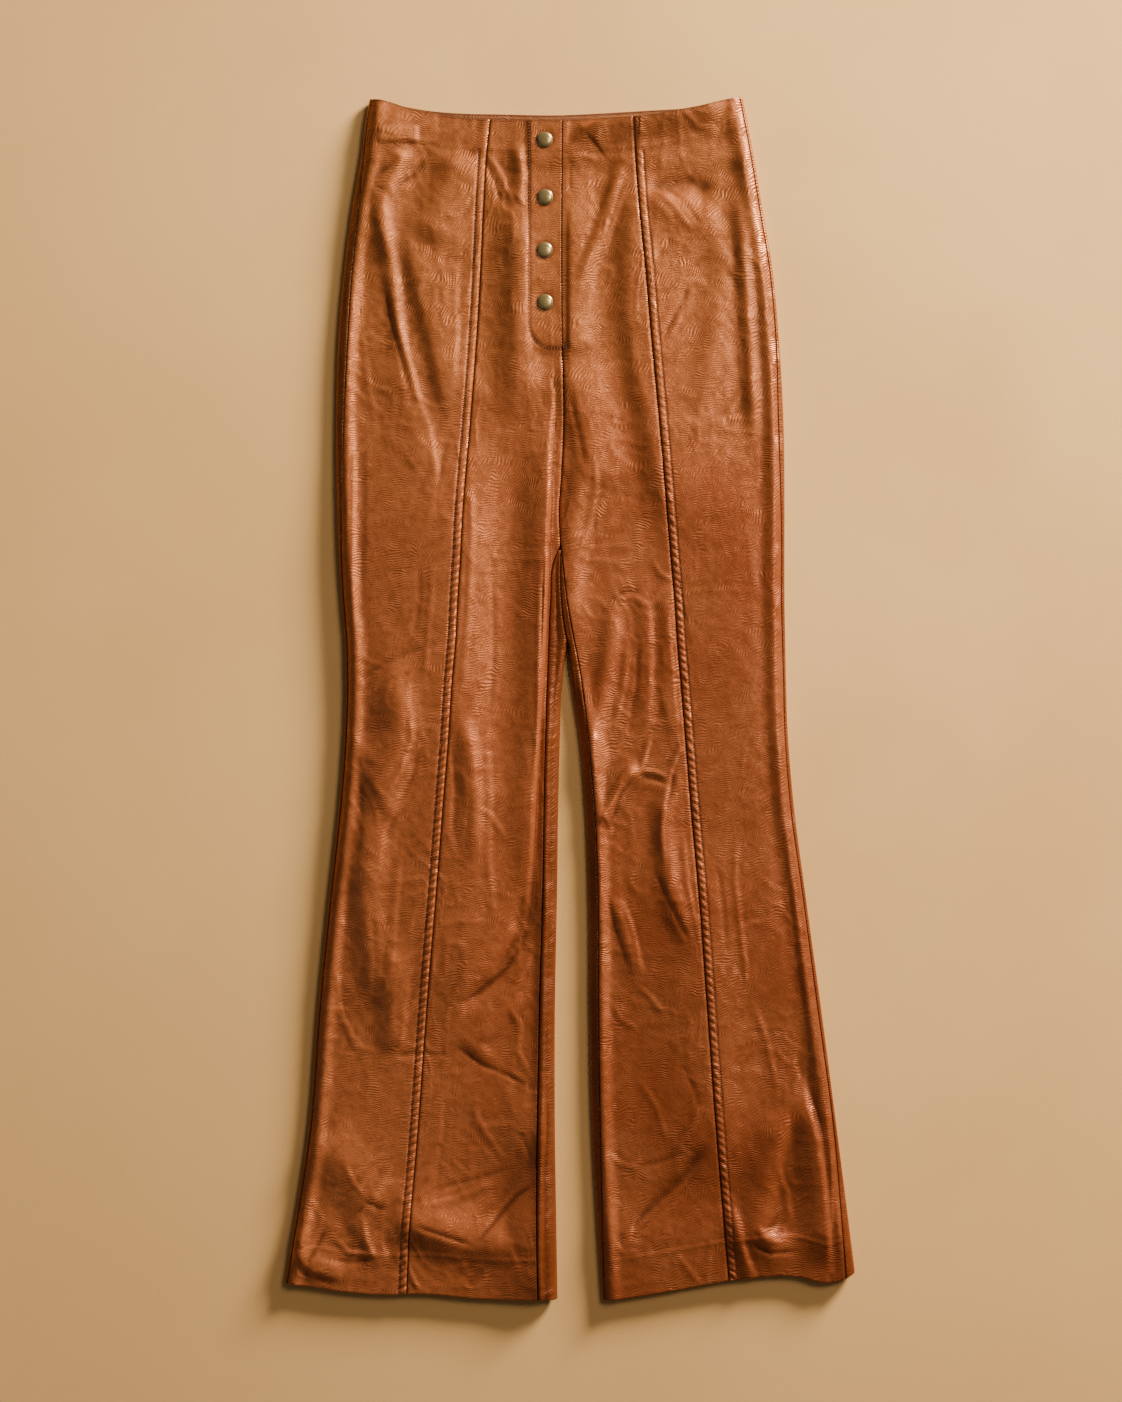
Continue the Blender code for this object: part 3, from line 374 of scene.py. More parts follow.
# Finer creases of the front. Each is a crest too, or a groove where its rise is below 0.
CREASES = (
    # rise, width of both flanks (mm), its line
    (0.9, 2.6, ((486, 153), (497, 170), (506, 190), (516, 208))),
    (-0.7, 2.4, ((484, 160), (494, 182), (503, 206))),
    (0.8, 2.6, ((566, 160), (582, 156), (600, 162))),
    (-0.7, 2.5, ((618, 182), (606, 214), (596, 246), (584, 280))),
    (0.8, 2.8, ((628, 180), (614, 220), (600, 262))),
    (0.7, 2.2, ((652, 188), (672, 205), (692, 232))),
    (-0.6, 2.0, ((662, 186), (684, 204), (700, 226))),
    (-1.0, 2.4, ((688, 288), (678, 312), (664, 336))),
    (0.8, 2.6, ((684, 298), (676, 322), (668, 342))),
    (-0.6, 2.2, ((656, 262), (664, 250), (672, 236))),
    (-1.2, 2.2, ((384, 278), (391, 318), (402, 360), (412, 402))),
    (1.1, 2.4, ((391, 286), (399, 330), (411, 372), (424, 424))),
    (0.7, 2.4, ((376, 212), (383, 236), (388, 262))),
    (-0.6, 2.2, ((372, 178), (392, 168), (402, 152))),
    (-0.7, 2.6, ((434, 148), (414, 176), (388, 192))),
    (0.6, 2.2, ((362, 330), (368, 380), (376, 430))),
    (0.8, 3.0, ((422, 402), (432, 444), (438, 498))),
    (-0.6, 2.4, ((446, 440), (442, 470), (436, 500))),
    (0.9, 2.2, ((354, 430), (354, 500), (353, 570), (355, 640))),
    (-0.7, 2.2, ((364, 440), (364, 520), (362, 600))),
    (-0.7, 3.4, ((352, 684), (388, 662), (418, 650), (446, 640))),
    (0.6, 3.0, ((360, 700), (390, 676), (420, 664))),
    (0.7, 2.6, ((430, 556), (432, 590), (428, 640), (424, 690))),
    (-0.6, 2.6, ((420, 560), (420, 600), (414, 640))),
    (1.0, 2.0, ((546, 556), (545, 610), (544, 670), (543, 740))),
    (1.0, 2.0, ((541, 560), (539, 620), (538, 700), (535, 780))),
    (-0.8, 1.8, ((543.5, 556), (542, 620), (541, 700), (539, 780))),
    (0.8, 3.0, ((470, 470), (472, 540), (468, 620), (462, 690))),
    (-0.6, 2.8, ((492, 560), (494, 640), (490, 720))),
    (0.7, 3.0, ((486, 730), (490, 800), (488, 860), (496, 930))),
    (0.6, 2.6, ((462, 756), (466, 800), (462, 850))),
    (-0.8, 3.0, ((452, 740), (456, 790), (454, 842))),
    (0.7, 2.8, ((478, 806), (492, 816), (506, 838))),
    (1.0, 2.6, ((410, 704), (412, 740), (400, 772), (384, 800))),
    (-0.7, 2.4, ((420, 748), (412, 780), (398, 806))),
    (0.8, 2.6, ((396, 806), (384, 830), (378, 868))),
    (-0.6, 2.6, ((362, 776), (362, 820), (358, 870))),
    (0.7, 3.0, ((402, 840), (396, 900), (392, 960), (380, 1010))),
    (-0.6, 2.4, ((372, 900), (376, 960), (372, 1010))),
    (0.8, 2.6, ((336, 960), (340, 1010), (356, 1046), (384, 1052))),
    (0.8, 2.8, ((410, 970), (404, 1010), (400, 1052))),
    (-0.8, 2.2, ((392, 1056), (420, 1052), (452, 1056))),
    (-1.1, 2.4, ((524, 942), (504, 972), (476, 994), (452, 1006))),
    (0.9, 2.6, ((534, 950), (516, 986), (492, 1010))),
    (-0.9, 2.2, ((458, 1046), (482, 1064), (510, 1076), (530, 1086))),
    (0.8, 2.4, ((506, 1000), (520, 1024), (518, 1052), (530, 1074))),
    (0.6, 2.6, ((470, 1100), (484, 1130), (504, 1158))),
    (-0.6, 2.4, ((512, 1126), (524, 1140), (532, 1160))),
    (-1.5, 2.0, ((414, 1224), (444, 1234), (473, 1244))),
    (-1.5, 2.0, ((475, 1245), (494, 1222), (516, 1196), (534, 1184))),
    (0.9, 2.6, ((420, 1206), (456, 1198), (500, 1180))),
    (-0.7, 2.4, ((430, 1190), (470, 1180), (510, 1168))),
    (0.9, 2.2, ((344, 1160), (354, 1182), (366, 1196))),
    (-1.1, 2.2, ((356, 1214), (368, 1202), (388, 1210))),
    (0.9, 2.2, ((362, 1212), (366, 1238), (377, 1262))),
    (-1.2, 2.2, ((326, 1228), (314, 1252), (306, 1266))),
    (1.0, 2.2, ((336, 1238), (350, 1252), (372, 1252))),
    (-0.8, 2.2, ((330, 1258), (352, 1262), (380, 1256))),
    (1.0, 2.2, ((404, 1252), (410, 1270), (420, 1292))),
    (-0.8, 1.8, ((292, 1238), (300, 1246), (312, 1244))),
    (0.9, 2.4, ((594, 452), (596, 490), (588, 530), (574, 566))),
    (-0.8, 2.6, ((570, 396), (578, 430), (586, 470))),
    (0.7, 2.6, ((612, 602), (630, 596), (648, 606), (668, 588))),
    (-0.8, 2.4, ((604, 606), (620, 594), (642, 592))),
    (0.9, 2.6, ((652, 560), (660, 574), (672, 580))),
    (0.4, 2.4, ((648, 610), (650, 660), (650, 706))),
    (0.4, 2.2, ((668, 606), (670, 650), (674, 700), (679, 744))),
    (1.5, 1.8, ((650, 738), (645, 754), (640, 770))),
    (1.3, 1.8, ((640, 770), (654, 772), (668, 777))),
    (-0.7, 2.0, ((642, 776), (656, 780), (668, 784))),
    (1.1, 2.0, ((682, 744), (674, 760), (668, 778))),
    (-1.2, 2.0, ((674, 770), (670, 792), (662, 812))),
    (1.3, 2.0, ((669, 782), (662, 812), (661, 836), (664, 866))),
    (1.4, 2.0, ((638, 762), (622, 780), (606, 812), (598, 830))),
    (-1.2, 2.0, ((634, 776), (620, 794), (612, 822))),
    (0.8, 1.8, ((604, 814), (611, 828), (608, 840))),
    (0.8, 2.6, ((600, 730), (606, 760), (598, 790))),
    (0.8, 2.6, ((628, 640), (624, 680), (614, 730))),
    (-0.8, 2.6, ((638, 640), (636, 690), (626, 740))),
    (0.7, 2.4, ((682, 830), (686, 880), (698, 936))),
    (-0.9, 2.4, ((654, 866), (668, 900), (690, 944))),
    (0.8, 2.2, ((622, 898), (634, 936), (642, 976))),
    (-0.8, 2.2, ((606, 892), (616, 930), (630, 972))),
    (0.8, 2.4, ((636, 984), (650, 996), (664, 1014))),
    (0.6, 2.4, ((612, 1002), (622, 1020), (640, 1030))),
    (0.6, 2.4, ((640, 1080), (656, 1106), (668, 1146))),
    (-0.6, 2.4, ((680, 1060), (692, 1084), (700, 1110))),
    (1.0, 2.4, ((700, 1104), (690, 1130), (672, 1152))),
    (0.9, 2.2, ((736, 836), (734, 880), (740, 930), (748, 994))),
    (-0.6, 2.4, ((716, 860), (722, 900), (726, 950))),
    (1.0, 2.0, ((779, 698), (783, 740), (791, 840), (801, 900), (812, 986))),
    (1.0, 2.0, ((812, 986), (823, 1074), (831, 1160), (831, 1216), (824, 1276))),
    (-0.8, 2.2, ((780, 820), (790, 900), (801, 986), (813, 1080))),
    (0.8, 2.6, ((752, 1000), (766, 1040), (778, 1094))),
    (1.0, 2.4, ((774, 1160), (786, 1190), (790, 1226))),
    (-1.2, 2.2, ((750, 1242), (770, 1252), (794, 1250))),
    (0.9, 2.4, ((756, 1222), (764, 1238), (784, 1242))),
    (-0.9, 2.2, ((704, 1160), (686, 1188), (650, 1220), (628, 1242))),
    (0.8, 2.2, ((648, 1196), (632, 1222), (622, 1252))),
    (0.8, 2.2, ((612, 1240), (624, 1252), (640, 1250))),
    (0.7, 2.4, ((676, 1252), (688, 1268), (700, 1284))),
    (0.9, 2.2, ((740, 1242), (747, 1260), (756, 1278))),
    (0.6, 2.6, ((606, 1150), (622, 1164), (640, 1168))),
    (-0.6, 2.4, ((640, 1166), (664, 1160), (690, 1150))),
)

# Creases of the underside, which lies on the ground: only shallow hollows there.
UNDERSIDE_CREASES = (
    # rise, width of both flanks (mm), its line
    (0.9, 3.2, ((470, 560), (430, 600), (384, 620))),
    (0.8, 2.8, ((500, 590), (462, 640), (410, 668))),
    (0.9, 3.0, ((650, 570), (690, 604), (742, 622))),
    (0.7, 2.8, ((620, 600), (664, 640), (712, 664))),
    (1.0, 3.4, ((470, 860), (430, 884), (372, 880))),
    (0.8, 2.8, ((500, 900), (452, 926), (396, 924))),
    (1.0, 3.4, ((640, 850), (690, 878), (748, 870))),
    (0.8, 2.8, ((630, 900), (676, 922), (730, 926))),
    (0.7, 3.0, ((392, 220), (404, 320), (398, 420))),
    (0.7, 3.0, ((722, 230), (712, 330), (720, 430))),
    (0.8, 3.0, ((440, 1010), (424, 1110), (430, 1200))),
    (0.8, 3.0, ((690, 1010), (706, 1100), (700, 1210))),
    (0.7, 2.6, ((540, 380), (520, 450), (490, 500))),
    (0.7, 2.6, ((584, 380), (606, 450), (640, 496))),
)


class Tint(enum.Enum):
    """Colours of the pieces, linear."""

    LEATHER_LIGHT = (0.460, 0.132, 0.042)
    LEATHER = (0.360, 0.088, 0.027)
    LEATHER_DEEP = (0.190, 0.036, 0.009)
    INSIDE = (0.330, 0.120, 0.040)
    LEATHER_GOLDEN = (0.410, 0.138, 0.036)
    # Darker copies of LEATHER_LIGHT and LEATHER for the back panels: painted shade on the strips and lips
    # that show.
    LEATHER_LIGHT_SHADED_COPY = (0.260, 0.068, 0.017)
    LEATHER_SHADED_COPY = (0.165, 0.038, 0.009)
    # Painted shade: the dark that the shade attribute blends in at seams, stitch lines, creases, caps and
    # turned edges.
    PAINTED_SHADE = (0.060, 0.014, 0.004)
    THREAD = (0.120, 0.038, 0.011)
    BRASS = (0.440, 0.320, 0.140)
    BRASS_DARK = (0.330, 0.240, 0.105)
    GROUND = (0.820, 0.495, 0.185)
    GROUND_DARK = (0.700, 0.395, 0.135)

    @property
    def rgba(self) -> tuple[float, float, float, float]:
        """The tint with full alpha."""
        return (*self.value, 1.0)


class Layer(enum.Enum):
    """Column of the waist edge's table that a panel's rows follow."""

    BACK = 1
    FRONT = 2


class Leg(enum.Enum):
    """One leg: the way from its outer edge inwards, then its inseam's and inner edge's columns."""

    LEFT = (1, 1, 2)
    RIGHT = (-1, 4, 3)

    @property
    def inward(self) -> int:
        """+1 where inwards is to the right."""
        return self.value[0]

    @property
    def inseam(self) -> int:
        """Column of the inseam in the inner edges' table."""
        return self.value[1]

    @property
    def inner(self) -> int:
        """Column of the inner silhouette in the inner edges' table."""
        return self.value[2]

    @property
    def outer_table(self) -> tuple:
        """The table of the leg's outer edge and seams."""
        return LEFT_OUTER if self is Leg.LEFT else RIGHT_OUTER


def frame_x(x: Array) -> Array:
    """Drawing x to millimetres in the frame."""
    return (np.asarray(x, float) - DATUM_X) * UNIT_MM


def frame_y(y: Array) -> Array:
    """Drawing y to millimetres in the frame."""
    return (DATUM_Y - np.asarray(y, float)) * UNIT_MM


def along(table: Sequence, column: int, place: Array) -> Array:
    """Smooth curve through one column of a table.

    Args:
        table: rows whose first column is the place.
        column: the column to read.
        place: where to read it.

    Returns:
        The values there.
    """
    places = np.array([row[0] for row in table])
    values = np.array([row[column] for row in table])
    slopes = np.gradient(values, places)
    place = np.clip(place, places[0], places[-1])
    index = np.clip(np.searchsorted(places, place, side="right") - 1, 0, len(places) - 2)
    step = places[index + 1] - places[index]
    t = (place - places[index]) / step
    start = (1 + 2 * t) * (1 - t) ** 2 * values[index] + t * (1 - t) ** 2 * step * slopes[index]
    finish = t * t * (3 - 2 * t) * values[index + 1] - t * t * (1 - t) * step * slopes[index + 1]
    return start + finish


def smooth(low: float, high: float, value: Array) -> Array:
    """0 below low, 1 above high, and a soft change between."""
    t = np.clip((np.asarray(value, float) - low) / (high - low), 0.0, 1.0)
    return t * t * (3 - 2 * t)


def between(value: Array, low: float, full: float, still_full: float, high: float) -> Array:
    """1 between two soft steps, 0 outside them."""
    return smooth(low, full, value) * smooth(high, still_full, value)


def ridge(distance: Array, width: Array | float, power: int = 2) -> Array:
    """1 in the middle of a soft ridge, in the same unit as its width."""
    return np.exp(-((distance / width) ** power))


def path_distance(x: Array, y: Array, path: Path) -> tuple[Array, Array, Array]:
    """Distance from a line of points, and where along it and on which side.

    Args:
        x, y: drawing place of each point.
        path: the line's drawing points.

    Returns:
        Distances in millimetres, shares of the line's length, and a number that is above 0
        on the line's far side: on the left of one that is walked downwards.
    """
    best = np.full(np.shape(x), np.inf)
    share = np.zeros(np.shape(x))
    side = np.zeros(np.shape(x))
    lengths = [math.dist(a, b) for a, b in zip(path, path[1:])]
    walked = 0.0
    for (x0, y0), (x1, y1), length in zip(path, path[1:], lengths):
        t = ((x - x0) * (x1 - x0) + (y - y0) * (y1 - y0)) / length**2
        t = np.clip(t, 0.0, 1.0)
        gap = np.hypot(x - x0 - t * (x1 - x0), y - y0 - t * (y1 - y0)) * UNIT_MM
        nearer = gap < best
        best = np.where(nearer, gap, best)
        share = np.where(nearer, (walked + t * length) / sum(lengths), share)
        side = np.where(nearer, (x1 - x0) * (y - y0) - (y1 - y0) * (x - x0), side)
        walked += length
    return best, share, side


def row_y(y: Array, x: Array, layer: Layer) -> Array:
    """Where a row lies at x: rows bend to follow the waist and hem edges.

    Args:
        y: the row's own drawing y.
        x: drawing x of each point.
        layer: whose edge the rows follow at the waist.

    Returns:
        Drawing y of each point.
    """
    top = smooth(WAIST_BLEND_END, WAIST_Y, y)
    bottom = smooth(HEM_BLEND_START, HEM_Y, y)
    lift = top * (along(WAIST_EDGE, layer.value, x) - WAIST_Y)
    return y + lift + bottom * (along(HEM_EDGE, 1, x) - HEM_Y)


def even_flanks(table: Sequence) -> list[tuple]:
    """A crease table's rows with a width for each flank, as the folds' rows have."""
    return [(rise, width, width, line) for rise, width, line in table]


@dataclass
class Crumple:
    """Soft seeded noise for what the listed creases don't cover.

    Args:
        seed: fixes the pattern.
        wavelength_mm: distance between its swells.
    """

    seed: int
    wavelength_mm: float
    lattice_size: int = 257

    def at(self, x_mm: Array, y_mm: Array) -> Array:
        """Smooth noise.

        Args:
            x_mm, y_mm: place of each point in the frame.

        Returns:
            Values from -1 to 1.
        """
        size = self.lattice_size
        lattice = np.random.default_rng(self.seed).uniform(-1, 1, (size, size))
        u = x_mm / self.wavelength_mm + 113.0
        v = y_mm / self.wavelength_mm + 127.0
        i, j = np.floor(u).astype(int), np.floor(v).astype(int)
        s, t = u - i, v - j
        s, t = s**3 * (s * (6 * s - 15) + 10), t**3 * (t * (6 * t - 15) + 10)
        i, j = i % (size - 1), j % (size - 1)
        low = lattice[i, j] * (1 - s) + lattice[i + 1, j] * s
        high = lattice[i, j + 1] * (1 - s) + lattice[i + 1, j + 1] * s
        return low * (1 - t) + high * t

    def creased(self, x_mm: Array, y_mm: Array, warp: "Crumple", reach: float) -> Array:
        """Noise folded into soft ridges whose lines wander.

        Args:
            x_mm, y_mm: place of each point in the frame.
            warp: noise that bends the lines.
            reach: how far it bends them, in millimetres.

        Returns:
            Values from 0 to 1, with 1 on a ridge.
        """
        dx = warp.at(x_mm, y_mm) * reach
        dy = warp.at(x_mm + 431.0, y_mm - 257.0) * reach
        return (1 - np.abs(self.at(x_mm + dx, y_mm + dy))) ** 3


@dataclass
class LeatherForm:
    """Height of the front leather: layers beneath, rounded edges, folds and fine relief.

    Its methods take drawing positions and give millimetres, unless they say otherwise.

    Args:
        swirl: noise that bends the lines of the others.
        crush: wrinkles of a finger's width.
        ripple: the finest wrinkles.
        swell: slow swells of the whole leather.
    """

    swirl: Crumple = field(default_factory=lambda: Crumple(5, 46.0))
    crush: Crumple = field(default_factory=lambda: Crumple(11, 15.0))
    ripple: Crumple = field(default_factory=lambda: Crumple(17, 8.0))
    swell: Crumple = field(default_factory=lambda: Crumple(23, 62.0))

    def edge_distances(self, x: Array, y: Array) -> tuple[Array, Array]:
        """Distances from the silhouettes.

        Args:
            x, y: drawing place of each point.

        Returns:
            Distances from the outer and from the inner silhouette.
        """
        half = LEATHER / 2
        left = (x - along(LEFT_OUTER, 1, y)) * UNIT_MM - half
        right = (along(RIGHT_OUTER, 1, y) - x) * UNIT_MM - half
        fork = (along(INNER_EDGES, 2, y) + along(INNER_EDGES, 3, y)) / 2
        inner_left = (along(INNER_EDGES, 2, y) - x) * UNIT_MM - half
        inner_right = (x - along(INNER_EDGES, 3, y)) * UNIT_MM - half
        inner = np.where(x < fork, inner_left, inner_right)
        return np.minimum(left, right), np.where(y < FORK_Y, NO_EDGE_NEAR, inner)

    def fly_zone(self, x: Array, y: Array) -> Array:
        """Where the closed fly is.

        Args:
            x, y: drawing place of each point.

        Returns:
            1 over the fly, 0 away from it.
        """
        across = smooth(FLY_STITCH_X - 4, FLY_STITCH_X + 2, x)
        across = across * smooth(8.0, 2.0, x - UNDERLAP_RIGHT_X)
        return across * smooth(8.0, -3.0, y - FLY_BOTTOM_Y)

    def lowest(self, x: Array, y: Array) -> Array:
        """Lowest that the front leather's middle may lie on the layers beneath.

        Args:
            x, y: drawing place of each point.

        Returns:
            Heights.
        """
        waist = smooth(24.0, 6.0, y - WAIST_SEAM_Y) * WAIST_LIFT
        start = HEM_Y - HEM_TURNING_UNITS
        turned = smooth(start - 70, start - 8, y) * HEM_LIFT
        return FRONT_LOWEST + waist + turned + FLY_LIFT * self.fly_zone(x, y)

    def edge_rise(self, distance: Array, reach: Array | float) -> Array:
        """0 at a silhouette, 1 beyond the reach of its rounding."""
        share = np.clip(distance / reach, 0.0, 1.0)
        return np.sqrt(np.maximum(1 - (1 - share) ** 2, 0.0))

    def bulge(self, distance: Array) -> Array:
        """Swelling of the leather where it turns over at an edge."""
        return EDGE_BULGE * ridge(distance - EDGE_BULGE_CENTRE, EDGE_BULGE_WIDTH)

    def folds(self, x: Array, y: Array, table: Sequence) -> Array:
        """Sum of a table's folds.

        Args:
            x, y: drawing place of each point.
            table: rows of rise, far width, near width and line.

        Returns:
            Heights, without the folds' scale.
        """
        total = np.zeros(np.shape(x))
        for rise, far, near, path in table:
            gap, share, side = path_distance(x, y, path)
            width = np.where(side > 0, far, near)
            ends = smooth(0.0, FOLD_END_FADE, share) * smooth(0.0, FOLD_END_FADE, 1 - share)
            fade = FOLD_AT_ITS_ENDS + (1 - FOLD_AT_ITS_ENDS) * ends
            total = total + rise * ridge(gap, width) * fade
        return total

    def base(self, x: Array, y: Array) -> Array:
        """Height of the middle of the front leather, as the solids have it.

        Args:
            x, y: drawing place of each point.

        Returns:
            Heights above the ground.
        """
        outer, inner = self.edge_distances(x, y)
        grown = smooth(FORK_Y, INNER_REACH_FULL_Y, y)
        inner_reach = INNER_REACH_AT_FORK + (EDGE_TOP_REACH - INNER_REACH_AT_FORK) * grown
        swelling = self.bulge(outer) + self.bulge(inner) * grown
        openings = np.maximum(smooth(60.0, 10.0, y - WAIST_Y), smooth(60.0, 15.0, HEM_Y - y))
        swelling = swelling * (1 - BULGE_LOSS_AT_OPENINGS * openings)
        calm = 1 - FLY_CALM * self.fly_zone(x, y)
        free = FRONT_LOFT + swelling + self.folds(x, y, FOLDS) * FOLD_SCALE * calm
        inside = self.lowest(x, y) + (free + np.sqrt(free**2 + 1.0)) / 2
        rise = self.edge_rise(outer, EDGE_TOP_REACH) * self.edge_rise(inner, inner_reach)
        return EDGE_MID_HEIGHT + (inside - EDGE_MID_HEIGHT) * rise

    def placket_step(self, x: Array, y: Array) -> Array:
        """Extra height of the fly's upper side, inside its curved stitch line.

        Args:
            x, y: drawing place of each point.

        Returns:
            Heights to add.
        """
        foot = FLY_BOTTOM_Y - 12.0 * smooth(FLY_STITCH_X + 14, FLY_STITCH_X, x)
        across = smooth(FLY_STITCH_X - 1, FLY_STITCH_X + 4, x)
        return PLACKET_STEP * across * smooth(7.0, -11.0, y - foot)

    def princess_offsets(self, x: Array, y: Array) -> list[tuple[int, Array]]:
        """Each princess seam's outward sign and the distances from it, outwards above 0."""
        tables = ((-1, LEFT_OUTER), (1, RIGHT_OUTER))
        return [(side, (x - along(table, 3, y)) * UNIT_MM * side) for side, table in tables]

    def seam_relief(self, x: Array, y: Array) -> Array:
        """Grooves, raised allowances and puckers along the princess seams.

        Args:
            x, y: drawing place of each point.

        Returns:
            Heights to add.
        """
        total = np.zeros(np.shape(x))
        y_mm = frame_y(y)
        wander = self.ripple.at(x * 0.0 + 3.0, y_mm * 0.7)
        sewn = smooth(WAIST_SEAM_Y - 3, WAIST_SEAM_Y + 5, y)
        seam_depth, seam_width = PRINCESS_GROOVE
        stitch_depth, stitch_width = PRINCESS_STITCH_GROOVE
        for side, off in self.princess_offsets(x, y):
            total -= seam_depth * ridge(off, seam_width)
            total += PRINCESS_ALLOWANCE * between(off, 0.2, 1.8, 5.8, 7.5) * sewn
            total -= stitch_depth * ridge(off - PRINCESS_STITCH_MM, stitch_width) * sewn
            pull = 0.20 + 0.50 * smooth(*PUCKERS_GROW_Y, y) * (1 if side < 0 else 0.45)
            slant = (y_mm + 0.75 * off) / PUCKER_PITCH_MM + 0.4 * wander
            total += pull * ridge(off - 3.4, 3.0) * np.sin(2 * np.pi * slant) * sewn
            bulky = (1 - sewn) * ridge(off - 4.0, 5.0)
            total += 0.55 * bulky
        return total

    def waist_and_hem_relief(self, x: Array, y: Array) -> Array:
        """Ridges of the waist facing and the hem turning, and what presses through at the left.

        Args:
            x, y: drawing place of each point.

        Returns:
            Heights to add.
        """
        outer, _ = self.edge_distances(x, y)
        clear = smooth(2.0, 10.0, outer)
        hem_line = along(HEM_EDGE, 1, x) - HEM_TURNING_UNITS
        waist_line = along(WAIST_EDGE, 2, x) + FACING_LINE_UNITS
        total = HEM_RIDGE[0] * ridge((y - hem_line) * UNIT_MM, HEM_RIDGE[1])
        total += WAIST_RIDGE[0] * ridge((y - waist_line) * UNIT_MM, WAIST_RIDGE[1]) * clear
        total += WAIST_PLATEAU * smooth(2.5, -1.5, y - waist_line) * clear
        tab = between(x, *PRESSED_TAB_X) * between(y, *PRESSED_TAB_Y)
        patch = between(x, *PRESSED_PATCH_X) * between(y, *PRESSED_PATCH_Y)
        return total + PRESSED_TAB_HEIGHT * tab + PRESSED_PATCH_HEIGHT * patch

    def fly_relief(self, x: Array, y: Array) -> Array:
        """Grooves and shoulders of the fly and the centre front, and hollows round the caps.

        Args:
            x, y: drawing place of each point.

        Returns:
            Heights to add.
        """
        stitch_gap, _, _ = path_distance(x, y, FLY_STITCHES)
        total = -FLY_STITCH_GROOVE[0] * ridge(stitch_gap, FLY_STITCH_GROOVE[1])
        tack = np.hypot(x - FLY_TACK[0], y - FLY_TACK[1]) * UNIT_MM
        total -= FLY_TACK_HOLLOW[0] * ridge(tack, FLY_TACK_HOLLOW[1])
        inner_line = ridge((x - FLY_INNER_LINE_X) * UNIT_MM, 1.0) * between(y, *FLY_INNER_LINE_Y)
        total += 0.3 * inner_line
        centre_off = (x - along(CENTRE_FRONT, 1, y)) * UNIT_MM
        below_fly = smooth(-3, 3, y - FLY_BOTTOM_Y) * (y < FRONT_CROTCH_Y + 14)
        total -= CENTRE_GROOVE[0] * ridge(centre_off, CENTRE_GROOVE[1]) * below_fly
        west = between(x - FLY_STITCH_X, -28, -3, -2, 4)
        east = between(x - UNDERLAP_RIGHT_X, 2.0, 8.0, 9.0, 38.0)
        shoulders = FLY_SHOULDER_WEST * west + FLY_SHOULDER_EAST * east
        total += shoulders * smooth(FLY_BOTTOM_Y + 8, FLY_BOTTOM_Y - 8, y)
        for off in self.cap_distances(x, y):
            total -= CAP_HOLLOW[0] * ridge(off, CAP_HOLLOW[1], 4)
        return total

    def cap_distances(self, x: Array, y: Array) -> list[Array]:
        """Distance from each cap's middle."""
        return [np.hypot(x - cap_x, y - cap_y) * UNIT_MM for cap_x, cap_y in CAP_PLACES]

    def fine(self, x: Array, y: Array) -> Array:
        """Everything that is finer than the solids' form, faded out at the silhouettes.

        Args:
            x, y: drawing place of each point.

        Returns:
            Heights to add.
        """
        outer, inner = self.edge_distances(x, y)
        x_mm, y_mm = frame_x(x), frame_y(y)
        near = smooth(0.0, 6.0, outer) * smooth(0.0, 6.0, inner)
        facing = between(x, *CALM_PATCH_X) * smooth(WAIST_SEAM_Y, WAIST_SEAM_Y - 8, y)
        calm = (1 - 0.75 * self.fly_zone(x, y)) * (1 - 0.8 * facing)
        rough = 0.55 + 0.45 * self.swell.at(x_mm, y_mm)
        lines = self.crush.creased(x_mm, y_mm * 0.8, self.swirl, 22.0)
        small = self.ripple.creased(x_mm, y_mm * 0.85, self.swirl, 16.0)
        total = self.folds(x, y, even_flanks(CREASES)) * calm * 0.7
        total += calm * rough * (0.55 * lines + 0.22 * small)
        total += 0.45 * self.swell.at(x_mm * 0.8, y_mm * 0.55) * calm
        sewing = self.waist_and_hem_relief(x, y) + self.fly_relief(x, y)
        return total * near + self.seam_relief(x, y) + sewing

    def height(self, x: Array, y: Array) -> Array:
        """Height of the middle of the front leather with all its relief."""
        return self.base(x, y) + self.fine(x, y)

    def over_facing(self, x: Array, y: Array) -> Array:
        """Height on the left of the centre front, where the fly's upper side is raised."""
        return self.height(x, y) + self.placket_step(x, y)

    def shade(self, x: Array, y: Array, from_seam: Array, height: Array) -> Array:
        """Painted shade in the leather's colour at its seams, stitch lines and creases, round the caps and
        along the turned edges.

        Args:
            x, y: drawing place of each point.
            from_seam: distance to the panel's nearest seam or cut edge, in millimetres.
            height: height of each point, in millimetres.

        Returns:
            An array from 0 to 1.
        """
        sewn = smooth(WAIST_SEAM_Y - 3, WAIST_SEAM_Y + 5, y)
        dark = [SHADE_SEAM * ridge(from_seam, 0.8)]
        for _, off in self.princess_offsets(x, y):
            dark.append(SHADE_PRINCESS * ridge(off - PRINCESS_STITCH_MM, 0.8) * sewn)
        stitch_gap, _, _ = path_distance(x, y, FLY_STITCHES)
        dark.append(SHADE_FLY * ridge(stitch_gap, 1.2))
        # Painted shadow in a ring round each cap.
        for off in self.cap_distances(x, y):
            dark.append(SHADE_CAP * ridge(off - 7.4, 1.4))
        # Painted shade in the hollows, less over the fly.
        deep = hollows(height, 3, 0.8) * (1 - 0.9 * self.fly_zone(x, y))
        dark.append(SHADE_HOLLOW * deep)
        # Painted shade along the turned edges.
        dark.append(SHADE_TURNED * smooth(9.0, 2.0, np.minimum(*self.edge_distances(x, y))))
        return np.maximum.reduce(dark)

